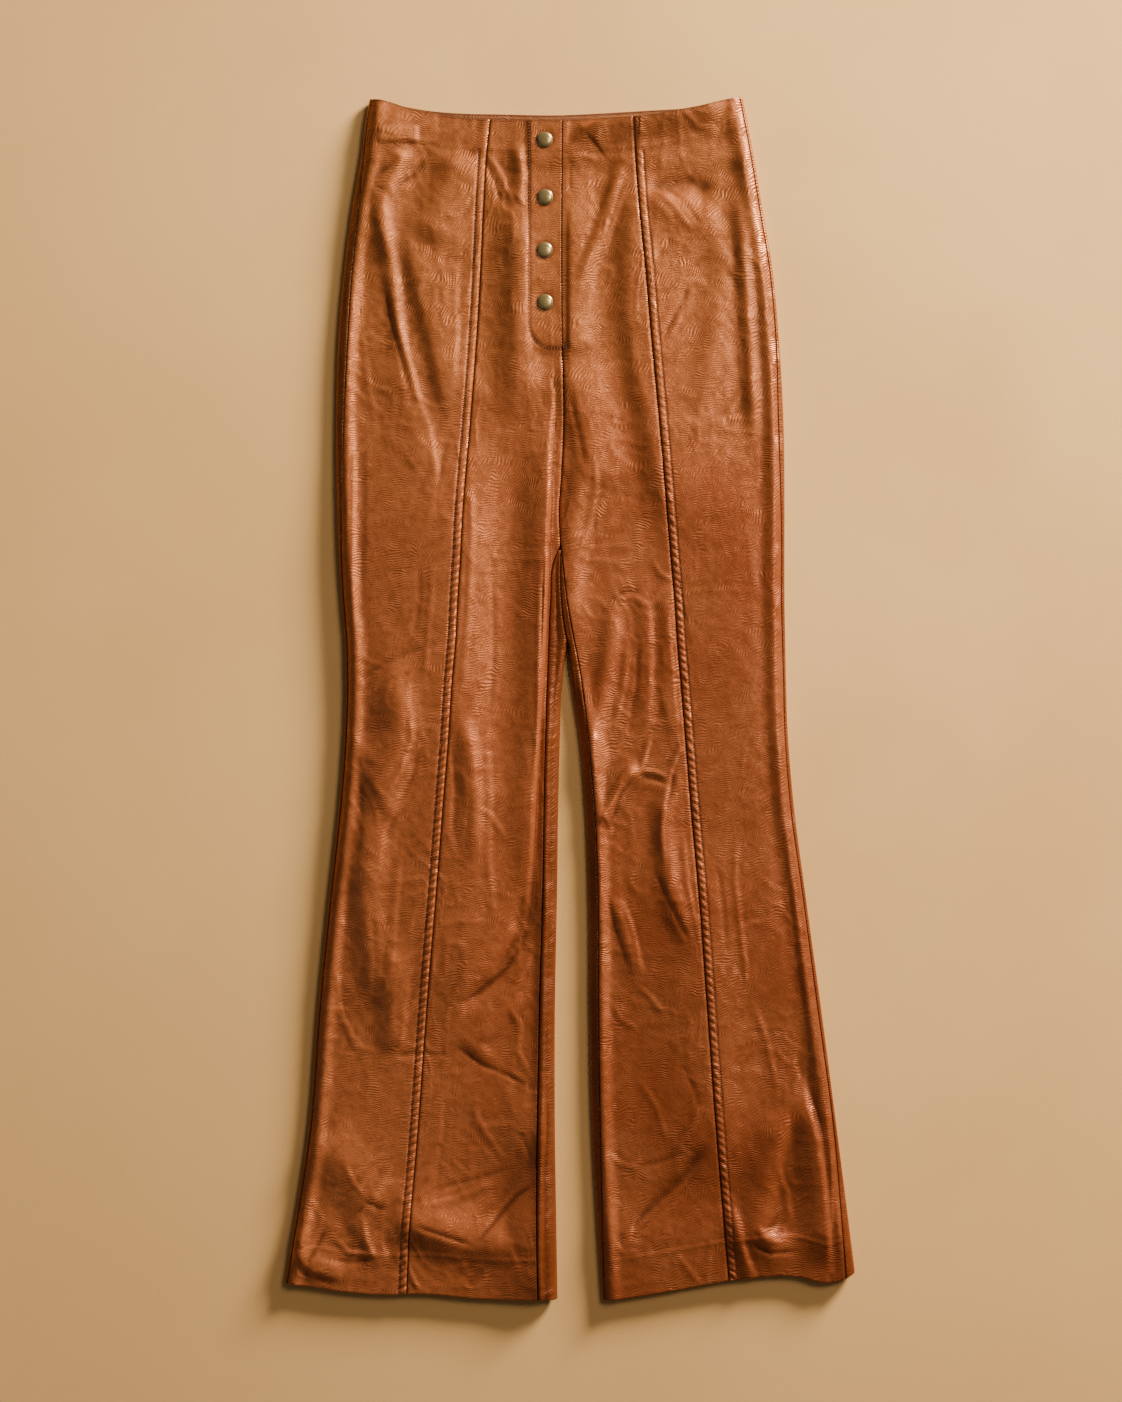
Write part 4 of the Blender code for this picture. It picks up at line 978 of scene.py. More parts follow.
    def strip_relief(self, x: Array, y: Array, share: float) -> Array:
        """Puckers and a long crease on the back leather beside an inseam.

        Args:
            x, y: drawing place of each point.
            share: place across the strip, from 0 at the silhouette to 1 at the inseam.

        Returns:
            Heights to add.
        """
        x_mm, y_mm = frame_x(x), frame_y(y)
        across = 4 * share * (1 - share)
        wander = self.ripple.at(x_mm, y_mm * 0.4)
        puckers = 0.28 * np.sin(2 * np.pi * (y_mm / 8.2 + 0.6 * share) + 2.0 * wander)
        crease = -0.8 * ridge(share - 0.48 - 0.08 * wander, 0.13)
        return across * (puckers + crease + 0.5 * self.crush.at(x_mm, y_mm * 0.5))

    def underside(self, x: Array, y: Array) -> Array:
        """Height of the underside's hollows.

        Args:
            x, y: drawing place of each point.

        Returns:
            Heights to add.
        """
        x_mm, y_mm = frame_x(x), frame_y(y)
        lines = self.crush.creased(x_mm + 300, y_mm * 0.8, self.swirl, 22.0)
        return self.folds(x, y, even_flanks(UNDERSIDE_CREASES)) + 0.25 * lines


def linked(name: str, data: bpy.types.ID) -> bpy.types.Object:
    """A new object of some data, in the scene."""
    made = bpy.data.objects.new(name, data)
    bpy.context.scene.collection.objects.link(made)
    return made


def declare(piece: bpy.types.Object, material: bpy.types.Material, node: str, slot: str) -> None:
    """Gives a piece its material, lets it ride on the root body and hides the CAD node that it replaces.

    Args:
        piece: the finished piece.
        material: its material.
        node: the CAD node that it replaces.
        slot: the record's material slot; not used.
    """
    piece.data.materials.append(material)
    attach(piece, "root")
    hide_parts(node)


@dataclass
class Shell:
    """A closed thin shell on a grid: middle points, normals and the two distances from them.

    Args:
        name: the piece's name.
        points: middle points in millimetres, rows by columns by 3.
        normals: unit normals, the same shape.
        outside: distance to the outer face, rows by columns.
        inside: distance to the inner face, rows by columns.
        cells: which grid cells exist, or None where all do.
        shade: how far shade is painted into the leather's colour at each point, from 0 to 1.
    """

    name: str
    points: Array
    normals: Array
    outside: Array
    inside: Array
    cells: Array | None = None
    shade: Array | None = None

    def build(self) -> bpy.types.Object:
        """Makes the mesh, smooth on its faces and sharp at its rims.

        Returns:
            The shell's object, in the scene.
        """
        rows, columns = self.points.shape[:2]
        if self.cells is None:
            self.cells = np.ones((rows - 1, columns - 1), bool)
        outer = self.points + self.normals * self.outside[..., None]
        inner = self.points - self.normals * self.inside[..., None]
        index = np.arange(rows * columns).reshape(rows, columns)
        a, b = index[:-1, :-1], index[1:, :-1]
        c, d = index[1:, 1:], index[:-1, 1:]
        face = np.stack([a, b, c, d], axis=-1)[self.cells]
        count = rows * columns
        quads = [face, face[:, ::-1] + count]
        padded = np.pad(self.cells, 1)
        beyond = (
            (padded[1:-1, :-2], a, b),
            (padded[2:, 1:-1], b, c),
            (padded[1:-1, 2:], c, d),
            (padded[:-2, 1:-1], d, a),
        )
        for neighbour, start, finish in beyond:
            open_side = self.cells & ~neighbour
            s, f = start[open_side], finish[open_side]
            quads.append(np.stack([f, s, s + count, f + count], axis=-1))
        faces = np.concatenate(quads)
        vertices = np.concatenate([outer.reshape(-1, 3), inner.reshape(-1, 3)]) * MM
        used, packed = np.unique(faces, return_inverse=True)
        faces = packed.reshape(faces.shape)
        vertices = vertices[used]
        if self.is_turned(vertices, faces[: len(face)]):
            faces = faces[:, ::-1]
        made = self.mesh(vertices, faces, len(face))
        if self.shade is not None:
            layer = made.data.attributes.new("shade", "FLOAT", "POINT")
            values = np.tile(self.shade.ravel(), 2)[used]
            layer.data.foreach_set("value", values.astype(np.float32))
        return made

    def is_turned(self, vertices: Array, faces: Array) -> bool:
        """Whether the outer faces look against the shell's normals.

        Args:
            vertices: the mesh's points.
            faces: its outer faces.

        Returns:
            True where the faces have to be turned round.
        """
        p, q, r = (vertices[faces[:, k]] for k in (0, 1, 2))
        looks = np.cross(q - p, r - q)
        normal = self.normals[:-1, :-1][self.cells]
        return bool((looks * normal).sum() < 0)

    def mesh(self, vertices: Array, faces: Array, outer_count: int) -> bpy.types.Object:
        """Turns arrays into an object, with smooth shading except across the rims.

        Args:
            vertices: points in metres.
            faces: quads: the outer ones, as many inner ones, then the rims.
            outer_count: how many outer faces there are.

        Returns:
            The object, in the scene.
        """
        data = bpy.data.meshes.new(self.name)
        data.from_pydata(vertices.tolist(), [], faces.tolist())
        data.update()
        smooth_faces = np.ones(len(faces), bool)
        smooth_faces[2 * outer_count :] = False
        data.polygons.foreach_set("use_smooth", smooth_faces)
        return linked(self.name, data)


def grid_points(x: Array, y: Array, z: Array) -> Array:
    """Points in millimetres from drawing positions and heights."""
    return np.stack([frame_x(x), frame_y(y), np.broadcast_to(z, x.shape)], axis=-1)


def grid_normals(points: Array) -> Array:
    """Unit normals of a grid of points, from its own rows and columns.

    Args:
        points: rows by columns by 3.

    Returns:
        Normals that look up, where the columns run to the right.
    """
    down = np.gradient(points, axis=0)
    across = np.gradient(points, axis=1)
    normal = np.cross(down, across)
    return normal / np.maximum(np.linalg.norm(normal, axis=-1, keepdims=True), 1e-9)


def hollows(height: Array, reach: int, depth: float) -> Array:
    """How far each point of a grid lies in a hollow, from 0 to 1.

    Args:
        height: heights on the grid, in millimetres.
        reach: how many grid steps away the rims of a hollow are looked for.
        depth: the depth that counts as a full hollow.

    Returns:
        An array like the heights.
    """
    padded = np.pad(height, reach, mode="edge")
    rows, columns = height.shape
    total = np.zeros(height.shape)
    for down, right in ((0, 1), (2, 1), (1, 0), (1, 2)):
        total += padded[down * reach :, right * reach :][:rows, :columns]
    return np.clip((total / 4 - height) / depth, 0.0, 1.0)


def spread(length_mm: float, pitch: float) -> Array:
    """Shares of a length for grid lines, closer together near both ends.

    Args:
        length_mm: the length to divide.
        pitch: distance between lines away from the ends.

    Returns:
        Shares from 0 to 1.
    """
    near = np.array(LINES_NEAR_EDGE)
    count = max(int((length_mm - 2 * near[-1]) / pitch), 2)
    middle = np.linspace(near[-1], length_mm - near[-1], count + 1)
    ends = length_mm - near[::-1]
    return np.concatenate([near[:-1], middle, ends[1:]]) / length_mm


def rounded(distance: Array, radius: float = CUT_ROUNDING) -> Array:
    """Share of the leather's half thickness near a cut or folded edge."""
    share = np.clip(distance / radius, 0.0, 1.0)
    return 0.15 + 0.85 * np.sqrt(1 - (1 - share) ** 2)


def garment_rows(pitch: float) -> Array:
    """Rows from the waist to the hem, with some at the crotch and the fork.

    Args:
        pitch: distance between rows, in millimetres.

    Returns:
        Drawing y of each row, before it bends to the edges.
    """
    rows = WAIST_Y + (HEM_Y - WAIST_Y) * spread((HEM_Y - WAIST_Y) * UNIT_MM, pitch)
    for place in (FRONT_CROTCH_Y, STRIP_TOP_Y, FORK_Y):
        rows[np.argmin(np.abs(rows - place))] = place
    return rows


def from_ends(rows: Array) -> tuple[Array, Array]:
    """Distances of rows from the waist and from the hem, in millimetres, as columns."""
    return (rows - WAIST_Y)[:, None] * UNIT_MM, (HEM_Y - rows)[:, None] * UNIT_MM


def crossing(table: Sequence, column: int, rows: Array) -> tuple[Array, Array]:
    """Drawing x and y of an edge where the back's bent rows cross it."""
    y = row_y(rows, along(table, column, rows), Layer.BACK)
    return along(table, column, y), y


def is_wide(width: Array) -> Array:
    """0 where a strip of some drawing units is narrow, 1 where it has room for relief."""
    return smooth(4.0, 12.0, np.abs(width) * UNIT_MM)


def turning(y: Array) -> Array:
    """Extra thickness inside the hem."""
    start = HEM_Y - HEM_TURNING_UNITS
    return HEM_TURNING_EXTRA * smooth(start - 6, start, y)


class LeatherPiece:
    """A cut piece of leather, whose shell each kind builds in its own way."""

    name: str
    flat: tuple[float, float]
    area: float | None = None
    slot: str = "leather"
    rests_on: Sequence[str] = BACKS

    def build(self) -> bpy.types.Object:
        """Makes the piece's shell."""
        raise NotImplementedError(self.name)

    def dress(self, leather: bpy.types.Material) -> bpy.types.Object:
        """Builds the piece, gives it its material and hides the CAD node that it stands for.

        Args:
            leather: its material.

        Returns:
            The piece.
        """
        piece = self.build()
        declare(piece, leather, self.name, self.slot)
        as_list(self.rests_on)
        return piece


@dataclass
class FrontPanel(LeatherPiece):
    """A front panel between two seam lines.

    Args:
        name: the solid's name.
        start: x of its left seam against y.
        finish: x of its right seam against y.
        surface: height of its leather's middle.
        form: the leather's form.
        flat: width and length that it was cut to, in metres; not used.
        area: flat area of its cut, in square metres; not used.
        width_mm: the panel's usual width, which sets how many columns it has.
        pitch_across: distance between the grid's columns, in millimetres.
        pitch_along: distance between its rows, in millimetres.
    """

    name: str
    start: Callable[[Array], Array]
    finish: Callable[[Array], Array]
    surface: Surface
    form: LeatherForm
    flat: tuple[float, float]
    area: float
    width_mm: float = 102.0
    pitch_across: float = 1.95
    pitch_along: float = 1.75

    def build(self) -> bpy.types.Object:
        """Makes the panel's shell.

        Returns:
            Its object.
        """
        shares = spread(self.width_mm, self.pitch_across)[None, :]
        rows = garment_rows(self.pitch_along)
        y = rows[:, None]
        x = self.start(y) + (self.finish(y) - self.start(y)) * shares
        y = row_y(y, x, Layer.FRONT)
        left, right = self.start(y), self.finish(y)
        inset = SEAM_GAP / 2 / UNIT_MM
        x = left + inset + (right - left - 2 * inset) * shares
        points = grid_points(x, y, self.surface(x, y))
        from_seam = np.minimum(x - left - inset, right - inset - x) * UNIT_MM
        from_top, from_hem = from_ends(rows)
        ends = rounded(from_top) * rounded(from_hem, HEM_ROUNDING)
        outside = LEATHER / 2 * rounded(from_seam) * ends
        inside = (LEATHER / 2 + turning(rows)[:, None]) * rounded(from_top) * rounded(from_hem)
        inside = np.broadcast_to(inside, x.shape)
        # Painted shade at the seams and the top edge, stitch lines, caps, creases and turned edges.
        shade = self.form.shade(x, y, np.minimum(from_seam, 0.5 * from_top), points[..., 2])
        normals = grid_normals(points)
        return Shell(f"{self.name}_leather", points, normals, outside, inside, None, shade).build()


@dataclass
class Column:
    """One column of a back panel's grid, from the waist to the hem.

    Args:
        points: its middle points, in millimetres.
        normal: its normals, or None where they follow from the grid.
        from_cut: how far each point is from a cut edge, in millimetres.
    """

    points: Array
    normal: Array | None
    from_cut: Array

    @classmethod
    def at(cls, x: Array, y: Array, z: Array, normal: Array | None, cut: Array) -> "Column":
        """A column at drawing positions and heights."""
        return cls(grid_points(x, y, z), normal, np.broadcast_to(cut, x.shape))


@dataclass
class BackPanel(LeatherPiece):
    """A back panel: under its leg, round both edges and up to the seams that show.

    Args:
        leg: which leg it is.
        form: the leather's form.
        flat: width and length that it was cut to, in metres; not used.
        area: flat area of its cut, in square metres; not used.
        pitch_along: distance between the grid's rows, in millimetres.
        lip_columns: columns from the side seam to the outer edge.
        arc_steps: columns round each edge.
        under_columns: columns underneath.
        strip_columns: columns from the inner edge to the inseam.
        fade_units: how far from the edges the hollows underneath start, in drawing units.
    """

    leg: Leg
    form: LeatherForm
    flat: tuple[float, float]
    area: float
    pitch_along: float = 2.9
    lip_columns: int = 7
    arc_steps: int = 7
    under_columns: int = 34
    strip_columns: int = 10
    fade_units: float = 14.0
    rests_on: Sequence[str] = ("ground",)

    @property
    def name(self) -> str:
        """The solid's name."""
        return f"back_{self.leg.name.lower()}"

    @property
    def rows(self) -> Array:
        """Drawing y of each row, before it bends to the edges."""
        return garment_rows(self.pitch_along)

    @property
    def inset(self) -> float:
        """Half a seam's gap, in drawing units, above 0 where inwards is to the right."""
        return self.leg.inward * (SEAM_GAP / 2 / UNIT_MM)

    @property
    def half(self) -> float:
        """Half the leather, in drawing units, above 0 where inwards is to the right."""
        return self.leg.inward * (LEATHER / 2 / UNIT_MM)

    def arc(self, edge: Array, inward: int, angle: float) -> tuple[Array, float, Array]:
        """Lower quarter of a rounded edge.

        Args:
            edge: drawing x of the silhouette.
            inward: the way into the leg.
            angle: degrees from the silhouette down.

        Returns:
            Drawing x, height and normal.
        """
        drop = EDGE_MID_HEIGHT - LEATHER / 2
        cos, sin = math.cos(math.radians(angle)), math.sin(math.radians(angle))
        x = frame_x(edge) + inward * (LEATHER / 2 + EDGE_UNDER_REACH * (1 - cos))
        z = EDGE_MID_HEIGHT - drop * sin
        size = math.hypot(cos / EDGE_UNDER_REACH, sin / drop)
        normal = self.normal(-inward * cos / EDGE_UNDER_REACH / size, -sin / drop / size)
        return x / UNIT_MM + DATUM_X, z, normal

    def normal(self, x: float, z: float) -> Array:
        """The same normal for a whole column."""
        return np.broadcast_to(np.array([x, 0.0, z]), (len(self.rows), 3))

    def outer_lip(self) -> list[Column]:
        """On the front: from the side seam to the outer silhouette.

        Returns:
            The columns.
        """
        rows, made = self.rows, []
        for share in np.linspace(1.0, 0.0, self.lip_columns + 1)[:-1] ** 1.4:
            lip, seam = self.lip_span(rows)
            y = row_y(rows, lip + (seam - lip) * share, Layer.BACK)
            lip, seam = self.lip_span(y)
            x = lip + (seam - lip) * share
            made.append(Column.at(x, y, self.form.base(x, y), None, np.abs(seam - x) * UNIT_MM))
        return made

    def lip_span(self, y: Array) -> tuple[Array, Array]:
        """Drawing x of the outer silhouette and of the side seam at y."""
        table = self.leg.outer_table
        return along(table, 1, y) + self.half, along(table, 2, y) - self.inset

    def outer_arc(self) -> list[Column]:
        """Round the outer silhouette and down to the ground.

        Returns:
            The columns.
        """
        edge, y = crossing(self.leg.outer_table, 1, self.rows)
        made = []
        for angle in np.linspace(0.0, 90.0, self.arc_steps):
            x, z, normal = self.arc(edge, self.leg.inward, angle)
            made.append(Column.at(x, y, z, normal, FAR_FROM_CUT))
        return made

    def under(self, start: Array) -> list[Column]:
        """Underneath, as far as the inner edge or the centre back seam.

        Args:
            start: drawing x where the outer arc ends.

        Returns:
            The columns.
        """
        rows, down, made = self.rows, self.normal(0.0, -1.0), []
        edge, _ = crossing(INNER_EDGES, self.leg.inner, rows)
        reach = (LEATHER / 2 + EDGE_UNDER_REACH) / UNIT_MM
        joined = self.under_seam(rows) - self.leg.inward * SEAM_MARGIN_UNITS
        finish = np.where(rows >= FORK_Y, edge - self.leg.inward * reach, joined)
        for share in np.linspace(0.0, 1.0, self.under_columns + 1)[1:-1]:
            x = start + (finish - start) * share
            y = row_y(rows, x, Layer.BACK)
            fade = self.fade_units
            room = smooth(0.0, fade, np.abs(x - start)) * smooth(0.0, fade, np.abs(finish - x))
            lift = self.form.underside(x, y) * room
            made.append(Column.at(x, y, LEATHER / 2 + lift, down, FAR_FROM_CUT))
        return made

    def under_seam(self, rows: Array) -> Array:
        """Drawing x of the panel's cut at the centre back, underneath."""
        return along(CENTRE_BACK_UNDER, 1, rows) - self.inset

    def inner_arc(self) -> list[Column]:
        """Up round the inner silhouette, or flat to the centre back seam above the fork.

        Returns:
            The columns.
        """
        rows, down, made = self.rows, self.normal(0.0, -1.0), []
        apart = rows >= FORK_Y
        edge, y_edge = crossing(INNER_EDGES, self.leg.inner, rows)
        seam = self.under_seam(rows)
        for angle in np.linspace(90.0, 0.0, self.arc_steps)[:-1]:
            x, z, normal = self.arc(edge, -self.leg.inward, angle)
            x = np.where(apart, x, seam - self.leg.inward * SEAM_MARGIN_UNITS * angle / 90.0)
            y = np.where(apart, y_edge, row_y(rows, x, Layer.BACK))
            z = np.where(apart, z, LEATHER / 2)
            normal = np.where(apart[:, None], normal, down)
            cut = np.where(apart, FAR_FROM_CUT, np.abs(seam - x) * UNIT_MM)
            made.append(Column.at(x, y, z, normal, cut))
        return made

    def strip(self) -> list[Column]:
        """On the front: from the inner silhouette or the centre back to the inseam.

        Returns:
            The columns.
        """
        rows, made = self.rows, []
        apart = rows >= FORK_Y
        for share in np.linspace(0.0, 1.0, self.strip_columns):
            begin, end = self.strip_span(rows)
            y = row_y(rows, begin + (end - begin) * share, Layer.BACK)
            begin, end = self.strip_span(y)
            x = begin + (end - begin) * share
            from_begin = np.where(apart, FAR_FROM_CUT, np.abs(x - begin) * UNIT_MM)
            cut = np.minimum(np.abs(end - x) * UNIT_MM, from_begin)
            relief = self.form.strip_relief(x, y, share) * is_wide(end - begin)
            z, normal = self.form.base(x, y) + relief, None
            if share == 0.0:
                z = np.where(apart, EDGE_MID_HEIGHT, z)
                side = self.normal(float(self.leg.inward), 0.0)
                normal = np.where(apart[:, None], side, self.normal(0.0, 1.0))
            made.append(Column.at(x, y, z, normal, cut))
        return made

    def strip_span(self, y: Array) -> tuple[Array, Array]:
        """Drawing x of the strip's inner end and of the inseam at y."""
        lip = along(INNER_EDGES, self.leg.inner, y) - self.half
        seam = along(CENTRE_BACK_SHOWN, 1, y) - self.inset
        return np.where(y >= FORK_Y, lip, seam), along(INNER_EDGES, self.leg.inseam, y) + self.inset

    def build(self) -> bpy.types.Object:
        """Makes the panel's shell, open along the centre back seam.

        Returns:
            Its object.
        """
        rows = self.rows
        columns = self.outer_lip() + self.outer_arc()
        columns += self.under(columns[-1].points[:, 0] / UNIT_MM + DATUM_X)
        columns += self.inner_arc() + self.strip()
        points = np.stack([column.points for column in columns], axis=1)
        normals = grid_normals(points) * -self.leg.inward
        for j, column in enumerate(columns):
            if column.normal is not None:
                normals[:, j] = column.normal
        cut = np.stack([column.from_cut for column in columns], axis=1)
        first = len(columns) - self.strip_columns
        cells = np.ones((len(rows) - 1, len(columns) - 1), bool)
        cells[rows[:-1] < FORK_Y, first - 1] = False
        cells[rows[:-1] < STRIP_TOP_Y, first:] = False
        from_top, from_hem = from_ends(rows)
        ends = rounded(from_top) * rounded(from_hem, HEM_ROUNDING)
        outside = LEATHER / 2 * rounded(cut) * ends
        inside = np.broadcast_to((LEATHER / 2 + turning(rows)[:, None]) * ends, cut.shape)
        # Painted shade along the cut edges and the waist's rim, and in the hollows where the strip is wide.
        edges = ridge(np.minimum(cut / 0.7, from_top / 1.2), 1.0)
        leg = self.leg
        width = along(INNER_EDGES, leg.inner, rows) - along(INNER_EDGES, leg.inseam, rows)
        wide = is_wide(width)[:, None]
        hollow = 0.6 * wide * hollows(points[..., 2], 2, 0.6)
        shade = np.maximum(SHADE_BACK_EDGE * edges * (0.4 + 0.6 * wide), hollow)
        return Shell(f"{self.name}_leather", points, normals, outside, inside, cells, shade).build()


@dataclass
class WaistFacing(LeatherPiece):
    """Facing inside the back waist, whose upper edge shows above the front.

    Args:
        left_x: drawing x of its left end.
        right_x: drawing x of its right end.
        from_edge: how far it lies below the back waist's edge, in drawing units.
        flat: width and length that it was cut to, in metres; not used.
    """

    left_x: float = 381.0
    right_x: float = 731.0
    from_edge: float = 0.6
    flat: tuple[float, float] = (0.310, 0.037)
    name: str = "back_waist_facing"
    slot: str = "leather_inside"

    def build(self) -> bpy.types.Object:
        """Makes the facing's shell.

        Returns:
            Its object.
        """
        width = self.right_x - self.left_x
        shares = spread(width * UNIT_MM, 4.0)[None, :]
        depths = spread(FACING_DEPTH_UNITS * UNIT_MM, 3.0)[:, None] * FACING_DEPTH_UNITS
        x = self.left_x + width * shares + 0 * depths
        y = along(WAIST_EDGE, 1, x) + self.from_edge + depths
        height = LEATHER + SEAM_GAP + FACING_THICKNESS / 2
        crumple = Crumple(31, 14.0).at(frame_x(x), frame_y(y)) * 0.12
        points = grid_points(x, y, height + crumple)
        from_edge = depths * UNIT_MM + 0 * x
        inside = np.full(x.shape, FACING_THICKNESS / 2)
        outside = inside * rounded(from_edge)
        # Painted shade along the upper edge, and a painted shadow under the front's edge.
        painted_shadow_under_front = smooth(-3.8, -1.8, y - along(WAIST_EDGE, 2, x))
        shade = np.maximum(ridge(from_edge, 2.0, 4), 0.9 * painted_shadow_under_front)
        normals = grid_normals(points)
        name = "waist_facing_leather"
        return Shell(name, points, normals, outside, inside, None, shade).build()


@dataclass
class FlyUnderlap(LeatherPiece):
    """Strip under the closed fly.

    Args:
        form: the leather's form.
        from_waist: how far it starts below the waist, in drawing units.
        flat: width and length that it was cut to, in metres; not used.
    """

    form: LeatherForm
    from_waist: float = 1.5
    flat: tuple[float, float] = (0.028, 0.194)
    name: str = "fly_underlap"
    slot: str = "leather_inside"

    def build(self) -> bpy.types.Object:
        """Makes the strip's shell.

        Returns:
            Its object.
        """
        width = UNDERLAP_RIGHT_X - UNDERLAP_LEFT_X
        length = UNDERLAP_BOTTOM_Y - WAIST_Y - self.from_waist
        shares = spread(width * UNIT_MM, 3.0)[None, :]
        rows = WAIST_Y + self.from_waist + length * spread(length * UNIT_MM, 4.0)[:, None]
        x = UNDERLAP_LEFT_X + width * shares + 0 * rows
        y = row_y(rows, x, Layer.FRONT)
        points = grid_points(x, y, self.form.base(x, y))
        normals = grid_normals(points)
        points = points - normals * (LEATHER / 2 + UNDERLAP_CLEARANCE + UNDERLAP_THICKNESS / 2)
        half = np.full(x.shape, UNDERLAP_THICKNESS / 2)
        return Shell(f"{self.name}_leather", points, normals, half, half).build()


@dataclass
class SnapCap:
    """Domed cap of a snap, pressed a little into the leather.

    Args:
        number: counted from the waist.
        x: drawing x of its middle.
        y: drawing y of its middle.
        form: the leather's form.
        radius: of its rolled lip, in millimetres.
        height: of its dome over its base, in millimetres.
        lip: height of the rolled lip, in millimetres.
        roll: radius of the lip's roll, in millimetres.
        pressed_in: how deep its base lies in the leather, in millimetres.
        segments: steps round it.
    """

    number: int
    x: float
    y: float
    form: LeatherForm
    radius: float = 7.0
    height: float = 2.3
    lip: float = 0.9
    roll: float = 0.38
    pressed_in: float = 0.25
    segments: int = 56

    def profile(self) -> list[tuple[float, float]]:
        """Half section from the top's middle over the dome and rolled lip to the base.

        Returns:
            Points of radius and height, in millimetres.
        """
        points = [(0.0, self.height)]
        for angle in range(82, 13, -6):
            reach = (self.radius - 0.75) * math.cos(math.radians(angle))
            dome = math.sin(math.radians(angle)) ** 0.85
            points.append((reach, self.lip + (self.height - self.lip) * dome))
        points.append((self.radius - 0.70, self.lip + 0.05))
        for angle in (70, 35, 0, -35, -70):
            turn = math.radians(angle)
            reach = self.radius - self.roll + self.roll * math.cos(turn)
            points.append((reach, self.lip * 0.62 + 0.42 * math.sin(turn)))
        return points + [(self.radius - 0.9, 0.0), (0.0, 0.0)]

    def outward(self) -> Vector:
        """The way that the leather faces under the cap.

        Returns:
            A unit vector.
        """
        x, y, step = np.array([[self.x]]), np.array([[self.y]]), 4
        base, run = self.form.base, 2 * step * UNIT_MM
        slope_x = float((base(x + step, y) - base(x - step, y))[0, 0]) / run
        slope_y = float((base(x, y - step) - base(x, y + step))[0, 0]) / run
        return Vector((-slope_x, -slope_y, 1.0)).normalized()

    def dress(self, brass: bpy.types.Material) -> bpy.types.Object:
        """Builds the cap square to the leather, gives it its material and hides the CAD node that it
        replaces.

        Args:
            brass: its material.

        Returns:
            The cap.
        """
        x, y = np.array([[self.x]]), np.array([[self.y]])
        base = self.form.base(x, y) + self.form.placket_step(x, y)
        place = Vector((float(frame_x(self.x)), float(frame_y(self.y)), float(base[0, 0])))
        outward = self.outward()
        place += outward * (LEATHER / 2 - self.pressed_in)
        mesh = bmesh.new()
        ring = [mesh.verts.new((r * MM, 0.0, h * MM)) for r, h in self.profile()]
        edges = [mesh.edges.new(pair) for pair in zip(ring, ring[1:])]
        bmesh.ops.spin(
            mesh,
            geom=ring + edges,
            cent=(0, 0, 0),
            axis=(0, 0, 1),
            angle=2 * math.pi,
            steps=self.segments,
            use_merge=True,
        )
        bmesh.ops.remove_doubles(mesh, verts=mesh.verts, dist=1e-6)
        bmesh.ops.recalc_face_normals(mesh, faces=mesh.faces)
        turn = outward.to_track_quat("Z", "Y").to_matrix()
        bmesh.ops.transform(mesh, matrix=turn.to_4x4(), verts=mesh.verts)
        bmesh.ops.translate(mesh, vec=place * MM, verts=mesh.verts)
        name = f"snap_{self.number}_cap"
        data = bpy.data.meshes.new(name)
        mesh.to_mesh(data)
        mesh.free()
        data.shade_smooth()
        piece = linked(name, data)
        declare(piece, brass, f"snap_cap_{self.number}", "aged_brass")
        return piece


